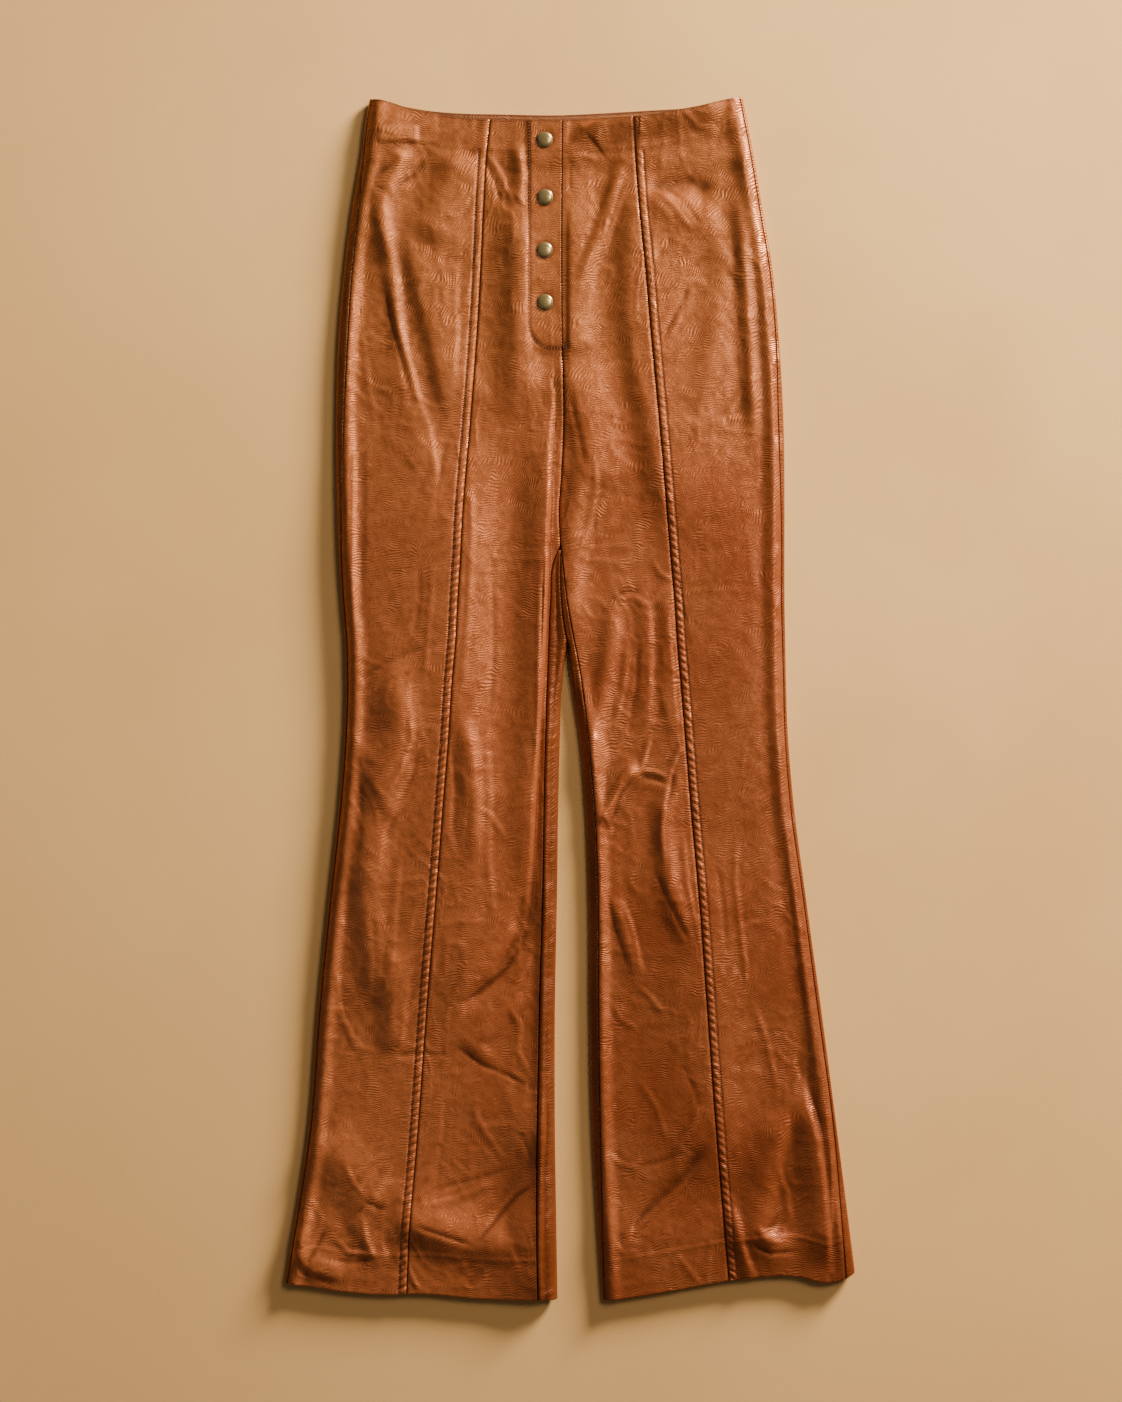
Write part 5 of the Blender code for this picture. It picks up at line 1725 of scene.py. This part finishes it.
@dataclass
class StitchRow:
    """A row of stitches along a line on the leather, made with Geometry Nodes.

    Args:
        name: the piece's name.
        line: drawing points that the row follows.
        surface: height of the leather's middle there.
        pitch: distance from stitch to stitch, in millimetres.
        length: length of a stitch, in millimetres.
        thread: thickness of the thread, in millimetres.
        lift: height of the thread's middle over the leather, in millimetres.
        unevenness: how far the stitches tilt.
        seed: fixes the stitches' unevenness.
    """

    name: str
    line: Sequence[tuple[float, float]]
    surface: Surface
    pitch: float = 2.6
    length: float = 1.8
    thread: float = 0.72
    lift: float = 0.12
    unevenness: float = 0.10
    seed: int = 3

    def guide(self) -> bpy.types.Object:
        """Line of points lying on the leather's outer face.

        Returns:
            Its object.
        """
        points = np.array(self.line, float)
        steps = np.hypot(*np.diff(points, axis=0).T)
        walked = np.concatenate([[0.0], np.cumsum(steps)])
        fine = np.arange(0.0, walked[-1], 1.0)
        x = np.interp(fine, walked, points[:, 0])
        y = np.interp(fine, walked, points[:, 1])
        places = grid_points(x, y, self.surface(x, y) + LEATHER / 2 + self.lift) * MM
        data = bpy.data.meshes.new(f"{self.name}_guide")
        data.from_pydata(places.tolist(), [(i, i + 1) for i in range(len(places) - 1)], [])
        return linked(f"{self.name}_guide", data)

    def tree(self, thread: bpy.types.Material) -> tuple[bpy.types.NodeTree, dict[str, str]]:
        """Node tree that sets a stitch at each step of the line.

        Args:
            thread: the stitches' material.

        Returns:
            The tree and the identifiers of its named inputs.
        """
        tree = bpy.data.node_groups.new(f"{self.name}_stitches", "GeometryNodeTree")
        face, add = tree.interface, tree.nodes.new
        face.new_socket("Geometry", in_out="INPUT", socket_type="NodeSocketGeometry")
        names = ("Stitch pitch", "Stitch length", "Thread thickness", "Unevenness")
        identifiers = {
            name: face.new_socket(name, in_out="INPUT", socket_type="NodeSocketFloat").identifier
            for name in names
        }
        face.new_socket("Geometry", in_out="OUTPUT", socket_type="NodeSocketGeometry")
        given, result = add("NodeGroupInput"), add("NodeGroupOutput")
        curve, normal = add("GeometryNodeMeshToCurve"), add("GeometryNodeSetCurveNormal")
        normal.mode = "Z_UP"
        points = add("GeometryNodeCurveToPoints")
        points.mode = "LENGTH"
        bead = add("GeometryNodeMeshUVSphere")
        for name, value in (("Segments", 8), ("Rings", 6), ("Radius", 0.5)):
            bead.inputs[name].default_value = value
        size, shape = add("ShaderNodeCombineXYZ"), add("GeometryNodeTransform")
        place = add("GeometryNodeInstanceOnPoints")
        vary, tilt = add("FunctionNodeRandomValue"), add("FunctionNodeRandomValue")
        for node, seed in ((vary, self.seed), (tilt, self.seed + 1)):
            node.data_type = "FLOAT_VECTOR"
            node.inputs["Seed"].default_value = seed
        vary.inputs["Min"].default_value = (0.85, 0.85, 0.82)
        vary.inputs["Max"].default_value = (1.12, 1.12, 1.08)
        low, high = add("ShaderNodeVectorMath"), add("ShaderNodeVectorMath")
        for node, sign in ((low, -1), (high, 1)):
            node.operation = "SCALE"
            node.inputs[0].default_value = (sign * 1.0, sign * 0.6, sign * 0.3)
        turn = add("FunctionNodeRotateEuler")
        turn.space = "LOCAL"
        real, soften = add("GeometryNodeRealizeInstances"), add("GeometryNodeSetShadeSmooth")
        dress = add("GeometryNodeSetMaterial")
        dress.inputs["Material"].default_value = thread
        wires = (
            (given, "Geometry", curve, "Mesh"),
            (curve, "Curve", normal, "Curve"),
            (normal, "Curve", points, "Curve"),
            (given, "Stitch pitch", points, "Length"),
            (given, "Thread thickness", size, "X"),
            (given, "Thread thickness", size, "Y"),
            (given, "Stitch length", size, "Z"),
            (bead, "Mesh", shape, "Geometry"),
            (size, "Vector", shape, "Scale"),
            (given, "Unevenness", low, "Scale"),
            (given, "Unevenness", high, "Scale"),
            (low, "Vector", tilt, "Min"),
            (high, "Vector", tilt, "Max"),
            (points, "Rotation", turn, "Rotation"),
            (tilt, "Value", turn, "Rotate By"),
            (points, "Points", place, "Points"),
            (shape, "Geometry", place, "Instance"),
            (turn, "Rotation", place, "Rotation"),
            (vary, "Value", place, "Scale"),
            (place, "Instances", real, "Geometry"),
            (real, "Geometry", soften, "Geometry"),
            (soften, "Geometry", dress, "Geometry"),
            (dress, "Geometry", result, "Geometry"),
        )
        for source, output, target, socket in wires:
            tree.links.new(source.outputs[output], target.inputs[socket])
        return tree, identifiers

    def dress(self, thread: bpy.types.Material) -> bpy.types.Object:
        """Builds the stitches as one plain mesh and lets them ride with the trousers.

        Args:
            thread: their material.

        Returns:
            The stitches.
        """
        guide = self.guide()
        tree, inputs = self.tree(thread)
        modifier = guide.modifiers.new("stitches", "NODES")
        modifier.node_group = tree
        modifier[inputs["Stitch pitch"]] = self.pitch * MM
        modifier[inputs["Stitch length"]] = self.length * MM
        modifier[inputs["Thread thickness"]] = self.thread * MM
        modifier[inputs["Unevenness"]] = self.unevenness
        graph = bpy.context.evaluated_depsgraph_get()
        graph.update()
        data = bpy.data.meshes.new_from_object(guide.evaluated_get(graph))
        data.name = self.name
        guide.modifiers.remove(modifier)
        bpy.data.objects.remove(guide)
        piece = linked(self.name, data)
        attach(piece, "root")
        return piece


class Nodes:
    """A new material on Object coordinates, and a short way to write its nodes."""

    def __init__(self, name: str) -> None:
        """Starts with the material's own shader and the coordinates.

        Args:
            name: the material's name.
        """
        self.material = bpy.data.materials.new(name)
        self.material.use_nodes = True
        self.tree = self.material.node_tree
        self.shader = self.tree.nodes["Principled BSDF"]
        self.where = self.add("ShaderNodeTexCoord").outputs["Object"]

    def add(self, kind: str, settings: dict | None = None, **inputs: object) -> bpy.types.Node:
        """Adds a node, sets its options and fills its inputs.

        Args:
            kind: the node's type.
            settings: its options.
            inputs: a value or an output for each input; an underscore stands for a space.

        Returns:
            The node.
        """
        node = self.tree.nodes.new(kind)
        for key, value in (settings or {}).items():
            setattr(node, key, value)
        for key, value in inputs.items():
            self.fill(node.inputs[key.replace("_", " ")], value)
        return node

    def fill(self, socket: bpy.types.NodeSocket, value: object) -> None:
        """Links an output or sets a value.

        Args:
            socket: the input.
            value: an output of another node, or a constant.
        """
        if isinstance(value, bpy.types.NodeSocket):
            self.tree.links.new(value, socket)
        else:
            socket.default_value = value

    def finish(self, colour: Output, bump: bpy.types.Node, **inputs: object) -> bpy.types.Material:
        """Fills the shader.

        Args:
            colour: the base colour.
            bump: the node that bends its normal.
            inputs: its other inputs; an underscore stands for a space.

        Returns:
            The material.
        """
        self.fill(self.shader.inputs["Base Color"], colour)
        self.fill(self.shader.inputs["Normal"], bump.outputs["Normal"])
        for key, value in inputs.items():
            self.fill(self.shader.inputs[key.replace("_", " ")], value)
        return self.material

    def noise(self, scale: float, detail: float = 4.0, **more: float) -> Output:
        """Noise at a scale per metre, from 0 to 1."""
        node = self.add("ShaderNodeTexNoise", None, Vector=self.where, Scale=scale, Detail=detail, **more)
        return node.outputs["Fac"]

    def ramp(self, value: Output, low: float, high: float, start: float = 0.0, finish: float = 1.0) -> Output:
        """Soft change from start to finish between two values.

        Args:
            value: what it follows.
            low: the value at its start.
            high: the value at its finish.
            start: what it gives at low and before.
            finish: what it gives at high and beyond.

        Returns:
            The output.
        """
        node = self.add("ShaderNodeMapRange", {"interpolation_type": "SMOOTHSTEP"}, Value=value)
        limits = (("From Min", low), ("From Max", high), ("To Min", start), ("To Max", finish))
        for name, amount in limits:
            node.inputs[name].default_value = amount
        return node.outputs["Result"]

    def math(self, kind: str, first: object, second: object) -> Output:
        """One step of arithmetic.

        Args:
            kind: ADD, SUBTRACT or MULTIPLY.
            first: a value or an output.
            second: a value or an output.

        Returns:
            The output.
        """
        node = self.add("ShaderNodeMath", {"operation": kind})
        self.fill(node.inputs[0], first)
        self.fill(node.inputs[1], second)
        return node.outputs[0]

    def blend(self, share: Output, first: object, second: object) -> Output:
        """Mix of two colours.

        Args:
            share: how much of the second one there is.
            first: a tint or an output.
            second: a tint or an output.

        Returns:
            The output.
        """
        node = self.add("ShaderNodeMix", {"data_type": "RGBA"})
        for index, value in ((0, share), (6, first), (7, second)):
            self.fill(node.inputs[index], value.rgba if isinstance(value, Tint) else value)
        return node.outputs[2]


@dataclass(frozen=True)
class LeatherFinish:
    """Glossy leather with fine wandering creases.

    Args:
        name: the material's name.
        light: its lighter colour, in random clouds and as painted light towards the left.
        middle: its main colour.
        deep: colour of its dark flecks and of the painted shade towards the lower right.
        roughness: of its calm places.
        metallic: share of its metallic sheen.
        wrinkle_mm: depth of its fine wrinkles.
        swell_mm: depth of the soft swells between them.
        grain_mm: depth of its grain.
        swirl: how far the wrinkles wander.
        golden: share of the golden tint towards the waist.
    """

    name: str
    light: Tint
    middle: Tint
    deep: Tint
    roughness: float = 0.33
    metallic: float = 0.48
    wrinkle_mm: float = 0.20
    swell_mm: float = 0.42
    grain_mm: float = 0.035
    swirl: float = 28.0
    golden: float = 0.45

    def wrinkles(self, nodes: Nodes, turn: float, pitch_mm: float) -> Output:
        """Fine wrinkles that run side by side and swirl, from 0 to 1.

        Args:
            nodes: the material's nodes.
            turn: the way that they run, in radians.
            pitch_mm: distance from wrinkle to wrinkle.

        Returns:
            The output that holds them.
        """
        turned = nodes.add("ShaderNodeMapping", None, Vector=nodes.where, Rotation=(0.0, 0.0, turn))
        wave = nodes.add("ShaderNodeTexWave", None, Vector=turned.outputs[0], Distortion=self.swirl)
        wave.inputs["Scale"].default_value = 314.0 / pitch_mm
        wave.inputs["Detail"].default_value = 1.5
        wave.inputs["Detail Scale"].default_value = 0.33
        wave.inputs["Detail Roughness"].default_value = 0.55
        return wave.outputs["Fac"]

    def bump(self, nodes: Nodes) -> bpy.types.Node:
        """Relief of wrinkles in two directions, soft swells and grain.

        Args:
            nodes: the material's nodes.

        Returns:
            The bump node.
        """
        first = self.wrinkles(nodes, 1.30, 2.1)
        second = self.wrinkles(nodes, 0.80, 2.5)
        swap = nodes.ramp(nodes.noise(26.0, 1.0), 0.44, 0.56)
        rest = nodes.math("SUBTRACT", 1.0, swap)
        lines = nodes.math(
            "ADD", nodes.math("MULTIPLY", first, swap), nodes.math("MULTIPLY", second, rest)
        )
        patches = nodes.ramp(nodes.noise(34.0, 3.0), 0.40, 0.68, 0.5, 1.0)
        lines = nodes.math("MULTIPLY", lines, patches)
        soft = nodes.noise(130.0, 5.0, Roughness=0.6)
        grain = nodes.noise(1300.0, 2.0)
        height = nodes.math("MULTIPLY", lines, self.wrinkle_mm)
        height = nodes.math("ADD", height, nodes.math("MULTIPLY", soft, self.swell_mm))
        height = nodes.math("ADD", height, nodes.math("MULTIPLY", grain, self.grain_mm))
        return nodes.add("ShaderNodeBump", None, Height=height, Strength=1.0, Distance=MM)

    def colour(self, nodes: Nodes) -> Output:
        """Clouded colour: painted light to the left, golden at the waist, painted shade at the lower right
        and in the seams and creases.

        Args:
            nodes: the material's nodes.

        Returns:
            The output that holds it.
        """
        cloud = nodes.ramp(nodes.noise(9.0, 4.0, Roughness=0.6), 0.34, 0.68)
        fleck = nodes.ramp(nodes.noise(120.0, 5.0, Roughness=0.68), 0.42, 0.72)
        place = nodes.add("ShaderNodeSeparateXYZ", None, Vector=nodes.where)
        x, y = place.outputs["X"], place.outputs["Y"]
        colour = nodes.blend(cloud, self.middle, self.light)
        # Painted light: the colour grows lighter towards the left.
        colour = nodes.blend(nodes.ramp(x, 0.06, -0.21, 0.0, 0.95), colour, self.light)
        upper = nodes.ramp(y, 0.08, 0.40, 0.0, self.golden)
        colour = nodes.blend(upper, colour, Tint.LEATHER_GOLDEN)
        colour = nodes.blend(nodes.math("MULTIPLY", fleck, 0.40), colour, self.deep)
        # Painted shade: the colour grows deeper towards the lower right.
        painted_shade_aslant = nodes.math("SUBTRACT", y, nodes.math("MULTIPLY", x, 2.6))
        colour = nodes.blend(nodes.ramp(painted_shade_aslant, 0.12, -0.75, 0.0, 0.36), colour, self.deep)
        # Painted shade: the shells' shade attribute darkens the colour at seams, stitches, caps, creases and
        # turned edges.
        shade = nodes.add("ShaderNodeAttribute", {"attribute_name": "shade"}).outputs["Fac"]
        return nodes.blend(nodes.math("MULTIPLY", shade, 0.9), colour, Tint.PAINTED_SHADE)

    def make(self) -> bpy.types.Material:
        """Builds the material.

        Returns:
            The material.
        """
        nodes = Nodes(self.name)
        rough = self.roughness
        return nodes.finish(
            self.colour(nodes),
            self.bump(nodes),
            Roughness=nodes.ramp(nodes.noise(55.0, 4.0), 0.3, 0.7, rough - 0.05, rough + 0.07),
            Metallic=self.metallic,
            Specular_IOR_Level=0.5,
            Specular_Tint=(1.0, 0.92, 0.82, 1.0),
            Coat_Weight=0.07,
            Coat_Roughness=0.26,
        )


@dataclass(frozen=True)
class BrassFinish:
    """Aged brass with darker, duller patches."""

    name: str = "aged_brass"
    roughness: float = 0.22
    metallic: float = 0.8

    def make(self) -> bpy.types.Material:
        """Builds the material.

        Returns:
            The material.
        """
        nodes = Nodes(self.name)
        worn = nodes.ramp(nodes.noise(130.0, 3.0), 0.35, 0.7)
        colour = nodes.blend(worn, Tint.BRASS, Tint.BRASS_DARK)
        rough = nodes.ramp(worn, 0.0, 1.0, self.roughness, self.roughness + 0.08)
        scratch = nodes.noise(2200.0, 3.0)
        bump = nodes.add("ShaderNodeBump", None, Height=scratch, Strength=0.04, Distance=0.00002)
        return nodes.finish(colour, bump, Roughness=rough, Metallic=self.metallic)


@dataclass(frozen=True)
class ThreadFinish:
    """Waxed sewing thread in the leather's colour."""

    name: str = "sewing_thread"
    roughness: float = 0.55

    def make(self) -> bpy.types.Material:
        """Builds the material.

        Returns:
            The material.
        """
        nodes = Nodes(self.name)
        ply = nodes.noise(2600.0, 2.0)
        colour = nodes.blend(ply, Tint.THREAD, Tint.LEATHER_DEEP)
        bump = nodes.add("ShaderNodeBump", None, Height=ply, Strength=0.6, Distance=0.00006)
        return nodes.finish(colour, bump, Roughness=self.roughness)


@dataclass(frozen=True)
class GroundFinish:
    """Plain warm beige ground with faint mottling, darker away from the light."""

    name: str = "ground_beige"
    roughness: float = 0.92
    lit_place: tuple[float, float, float] = (0.22, 0.28, 0.0)

    def make(self) -> bpy.types.Material:
        """Builds the material.

        Returns:
            The material.
        """
        nodes = Nodes(self.name)
        mottle = nodes.ramp(nodes.noise(3.2, 5.0, Roughness=0.55), 0.32, 0.7, 0.0, 0.7)
        colour = nodes.blend(mottle, Tint.GROUND, Tint.GROUND_DARK)
        off = nodes.add("ShaderNodeVectorMath", {"operation": "DISTANCE"})
        nodes.fill(off.inputs[0], nodes.where)
        off.inputs[1].default_value = self.lit_place
        away = nodes.ramp(off.outputs["Value"], 0.25, 1.05, 0.0, 0.75)
        colour = nodes.blend(away, colour, Tint.GROUND_DARK)
        grain = nodes.noise(900.0, 4.0)
        bump = nodes.add("ShaderNodeBump", None, Height=grain, Strength=0.5, Distance=0.00018)
        return nodes.finish(colour, bump, Roughness=self.roughness)


@dataclass(frozen=True)
class SoftLight:
    """One soft area light, in metres and watts."""

    name: str
    place: tuple[float, float, float]
    aim: tuple[float, float, float]
    size: tuple[float, float]
    power: float
    colour: tuple[float, float, float]

    def build(self) -> None:
        """Puts it in the scene, turned to its aim."""
        data = bpy.data.lights.new(self.name, "AREA")
        data.shape = "RECTANGLE"
        data.size, data.size_y = self.size
        data.energy = self.power
        data.color = self.colour
        found = linked(self.name, data)
        found.location = self.place
        found.rotation_mode = "QUATERNION"
        way = Vector(self.aim) - Vector(self.place)
        found.rotation_quaternion = way.to_track_quat("-Z", "Y")


@dataclass
class Studio:
    """Ground, lights and the camera above the trousers.

    Args:
        image: width and height of the picture, in drawing units.
        distance: from the camera to the ground, in metres.
        ground_half: half the ground's width, in metres.
        ground_drop: how far it lies below the trousers, in metres.
        room: colour of the soft light all round.
        room_strength: its strength.
    """

    image: tuple[float, float] = (1122.0, 1402.0)
    distance: float = 2.6
    ground_half: float = 4.0
    ground_drop: float = 0.0003
    room: tuple[float, float, float, float] = (1.0, 0.95, 0.88, 1.0)
    room_strength: float = 0.075
    lights: tuple[SoftLight, ...] = (
        SoftLight("key", (2.40, 2.70, 1.00), (0.0, 0.10, 0.0), (1.00, 0.95), 610.0, (1.0, 0.895, 0.76)),
        SoftLight("sheen", (1.20, 0.90, 2.20), (0.0, 0.05, 0.0), (0.80, 1.00), 25.0, (1.0, 0.86, 0.69)),
        SoftLight("fill", (-1.6, -0.8, 1.5), (0.0, 0.0, 0.0), (1.6, 1.6), 1.0, (1.0, 0.96, 0.92)),
    )

    def ground(self) -> None:
        """Puts a plain ground under the trousers."""
        data = bpy.data.meshes.new("ground")
        half = self.ground_half
        corners = ((-half, -half), (half, -half), (half, half), (-half, half))
        data.from_pydata([(x, y, -self.ground_drop) for x, y in corners], [], [(0, 1, 2, 3)])
        data.materials.append(GroundFinish().make())
        linked("ground", data)

    def camera(self) -> None:
        """Puts the camera straight above, framed as the picture."""
        width, height = self.image
        data = bpy.data.cameras.new("camera")
        data.sensor_width = 36.0
        data.lens = data.sensor_width * self.distance / (height * UNIT_MM * MM)
        data.clip_end = 50.0
        found = linked("camera", data)
        x = float(frame_x(width / 2)) * MM
        y = float(frame_y(height / 2)) * MM
        found.location = (x, y, self.distance + EDGE_MID_HEIGHT * MM)
        bpy.context.scene.camera = found

    def build(self) -> None:
        """Makes all of it."""
        self.ground()
        for light in self.lights:
            light.build()
        world = bpy.data.worlds.new("soft_room")
        world.use_nodes = True
        background = world.node_tree.nodes["Background"]
        background.inputs["Color"].default_value = self.room
        background.inputs["Strength"].default_value = self.room_strength
        bpy.context.scene.world = world
        self.camera()


def report(piece: bpy.types.Object) -> None:
    """Logs a finished piece."""
    log.info("built %s, %d faces", piece.name, len(piece.data.polygons))


@dataclass
class Trousers:
    """The whole garment, built piece by piece.

    Args:
        form: the leather's form.
        front_side_left: its cut: width and length in metres, and area in square metres.
        front_side_right: its cut.
        front_centre: the cut of each centre front panel.
        back: the cut of each back panel.
        line_points: how many points a line of topstitching has.
    """

    form: LeatherForm = field(default_factory=LeatherForm)
    front_side_left: Cut = ((0.118, 1.060), 0.107)
    front_side_right: Cut = ((0.115, 1.060), 0.101)
    front_centre: Cut = ((0.125, 1.050), 0.096)
    back: Cut = ((0.300, 1.060), 0.235)
    line_points: int = 240

    def seam(self, leg: Leg, column: int) -> Callable[[Array], Array]:
        """x of a seam line of the leg's outer table against y."""
        return lambda y: along(leg.outer_table, column, y)

    def centre(self, leg: Leg) -> Callable[[Array], Array]:
        """x of the centre front, then of a leg's inseam."""
        return lambda y: np.where(
            y < FRONT_CROTCH_Y, along(CENTRE_FRONT, 1, y), along(INNER_EDGES, leg.inseam, y)
        )

    def panels(self) -> list[FrontPanel]:
        """The four front panels, from left to right.

        Returns:
            The panels, not yet built.
        """
        form, cut = self.form, self.front_centre
        side = [self.seam(leg, 2) for leg in Leg]
        princess = [self.seam(leg, 3) for leg in Leg]
        middle = [self.centre(leg) for leg in Leg]
        height, raised = form.height, form.over_facing
        return [
            FrontPanel("front_side_left", side[0], princess[0], height, form, *self.front_side_left),
            FrontPanel("front_centre_left", princess[0], middle[0], raised, form, *cut),
            FrontPanel("front_centre_right", middle[1], princess[1], height, form, *cut),
            FrontPanel("front_side_right", princess[1], side[1], height, form, *self.front_side_right),
        ]

    def princess_line(self, leg: Leg) -> list[tuple[float, float]]:
        """Topstitching beside a princess seam, from the facing's edge to the hem.

        Args:
            leg: which leg it is on.

        Returns:
            Drawing points.
        """
        off = -leg.inward * PRINCESS_STITCH_MM / UNIT_MM
        rows = np.linspace(WAIST_SEAM_Y, HEM_Y - 1.5, self.line_points)
        y = row_y(rows, along(leg.outer_table, 3, rows) + off, Layer.FRONT)
        x = along(leg.outer_table, 3, y) + off
        return list(zip(x.tolist(), y.tolist()))

    def stitching(self) -> list[StitchRow]:
        """Every row of stitches that shows.

        Returns:
            The rows, not yet built.
        """
        form = self.form
        (x, y), (across, down) = TACK_STITCH_START, TACK_STITCH_STEP
        tack = [(x + across * k, y + down * (k % 2)) for k in range(6)]
        return [
            StitchRow("topstitch_left", self.princess_line(Leg.LEFT), form.height),
            StitchRow("topstitch_right", self.princess_line(Leg.RIGHT), form.height, seed=8),
            StitchRow("topstitch_fly", FLY_STITCHES, form.over_facing, lift=0.3, seed=12),
            StitchRow("fly_tack", tack, form.over_facing, 1.1, 1.3, 0.45, seed=15),
        ]

    def build(self) -> None:
        """Builds, dresses and reports each piece."""
        front_tints = (Tint.LEATHER_LIGHT, Tint.LEATHER, Tint.LEATHER_DEEP)
        inside_tints = (Tint.INSIDE, Tint.INSIDE, Tint.LEATHER_DEEP)
        # The back panels get a darker copy of the leather: painted shade.
        shaded_back_tints = (Tint.LEATHER_LIGHT_SHADED_COPY, Tint.LEATHER_SHADED_COPY, Tint.LEATHER_DEEP)
        front = LeatherFinish("cognac_leather", *front_tints).make()
        inside = LeatherFinish("cognac_leather_inside", *inside_tints, 0.46, 0.15).make()
        back_in_painted_shade = LeatherFinish("cognac_leather_in_painted_shade", *shaded_back_tints).make()
        brass, thread = BrassFinish().make(), ThreadFinish().make()
        for panel in self.panels():
            report(panel.dress(front))
        for leg in Leg:
            report(BackPanel(leg, self.form, *self.back).dress(back_in_painted_shade))
        for part in (WaistFacing(), FlyUnderlap(self.form)):
            report(part.dress(inside))
        for number, (x, y) in enumerate(CAP_PLACES, start=1):
            report(SnapCap(number, x, y, self.form).dress(brass))
        for row in self.stitching():
            report(row.dress(thread))


def main() -> None:
    """Builds the trousers and their studio."""
    logging.basicConfig(level=logging.INFO, format="%(message)s")
    for found in list(bpy.data.objects):
        bpy.data.objects.remove(found, do_unlink=True)
    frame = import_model()
    log.info("loaded the packed frame, %d nodes", len(frame["nodes"]))
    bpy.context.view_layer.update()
    Trousers().build()
    Studio().build()


if __name__ == "__main__":
    main()
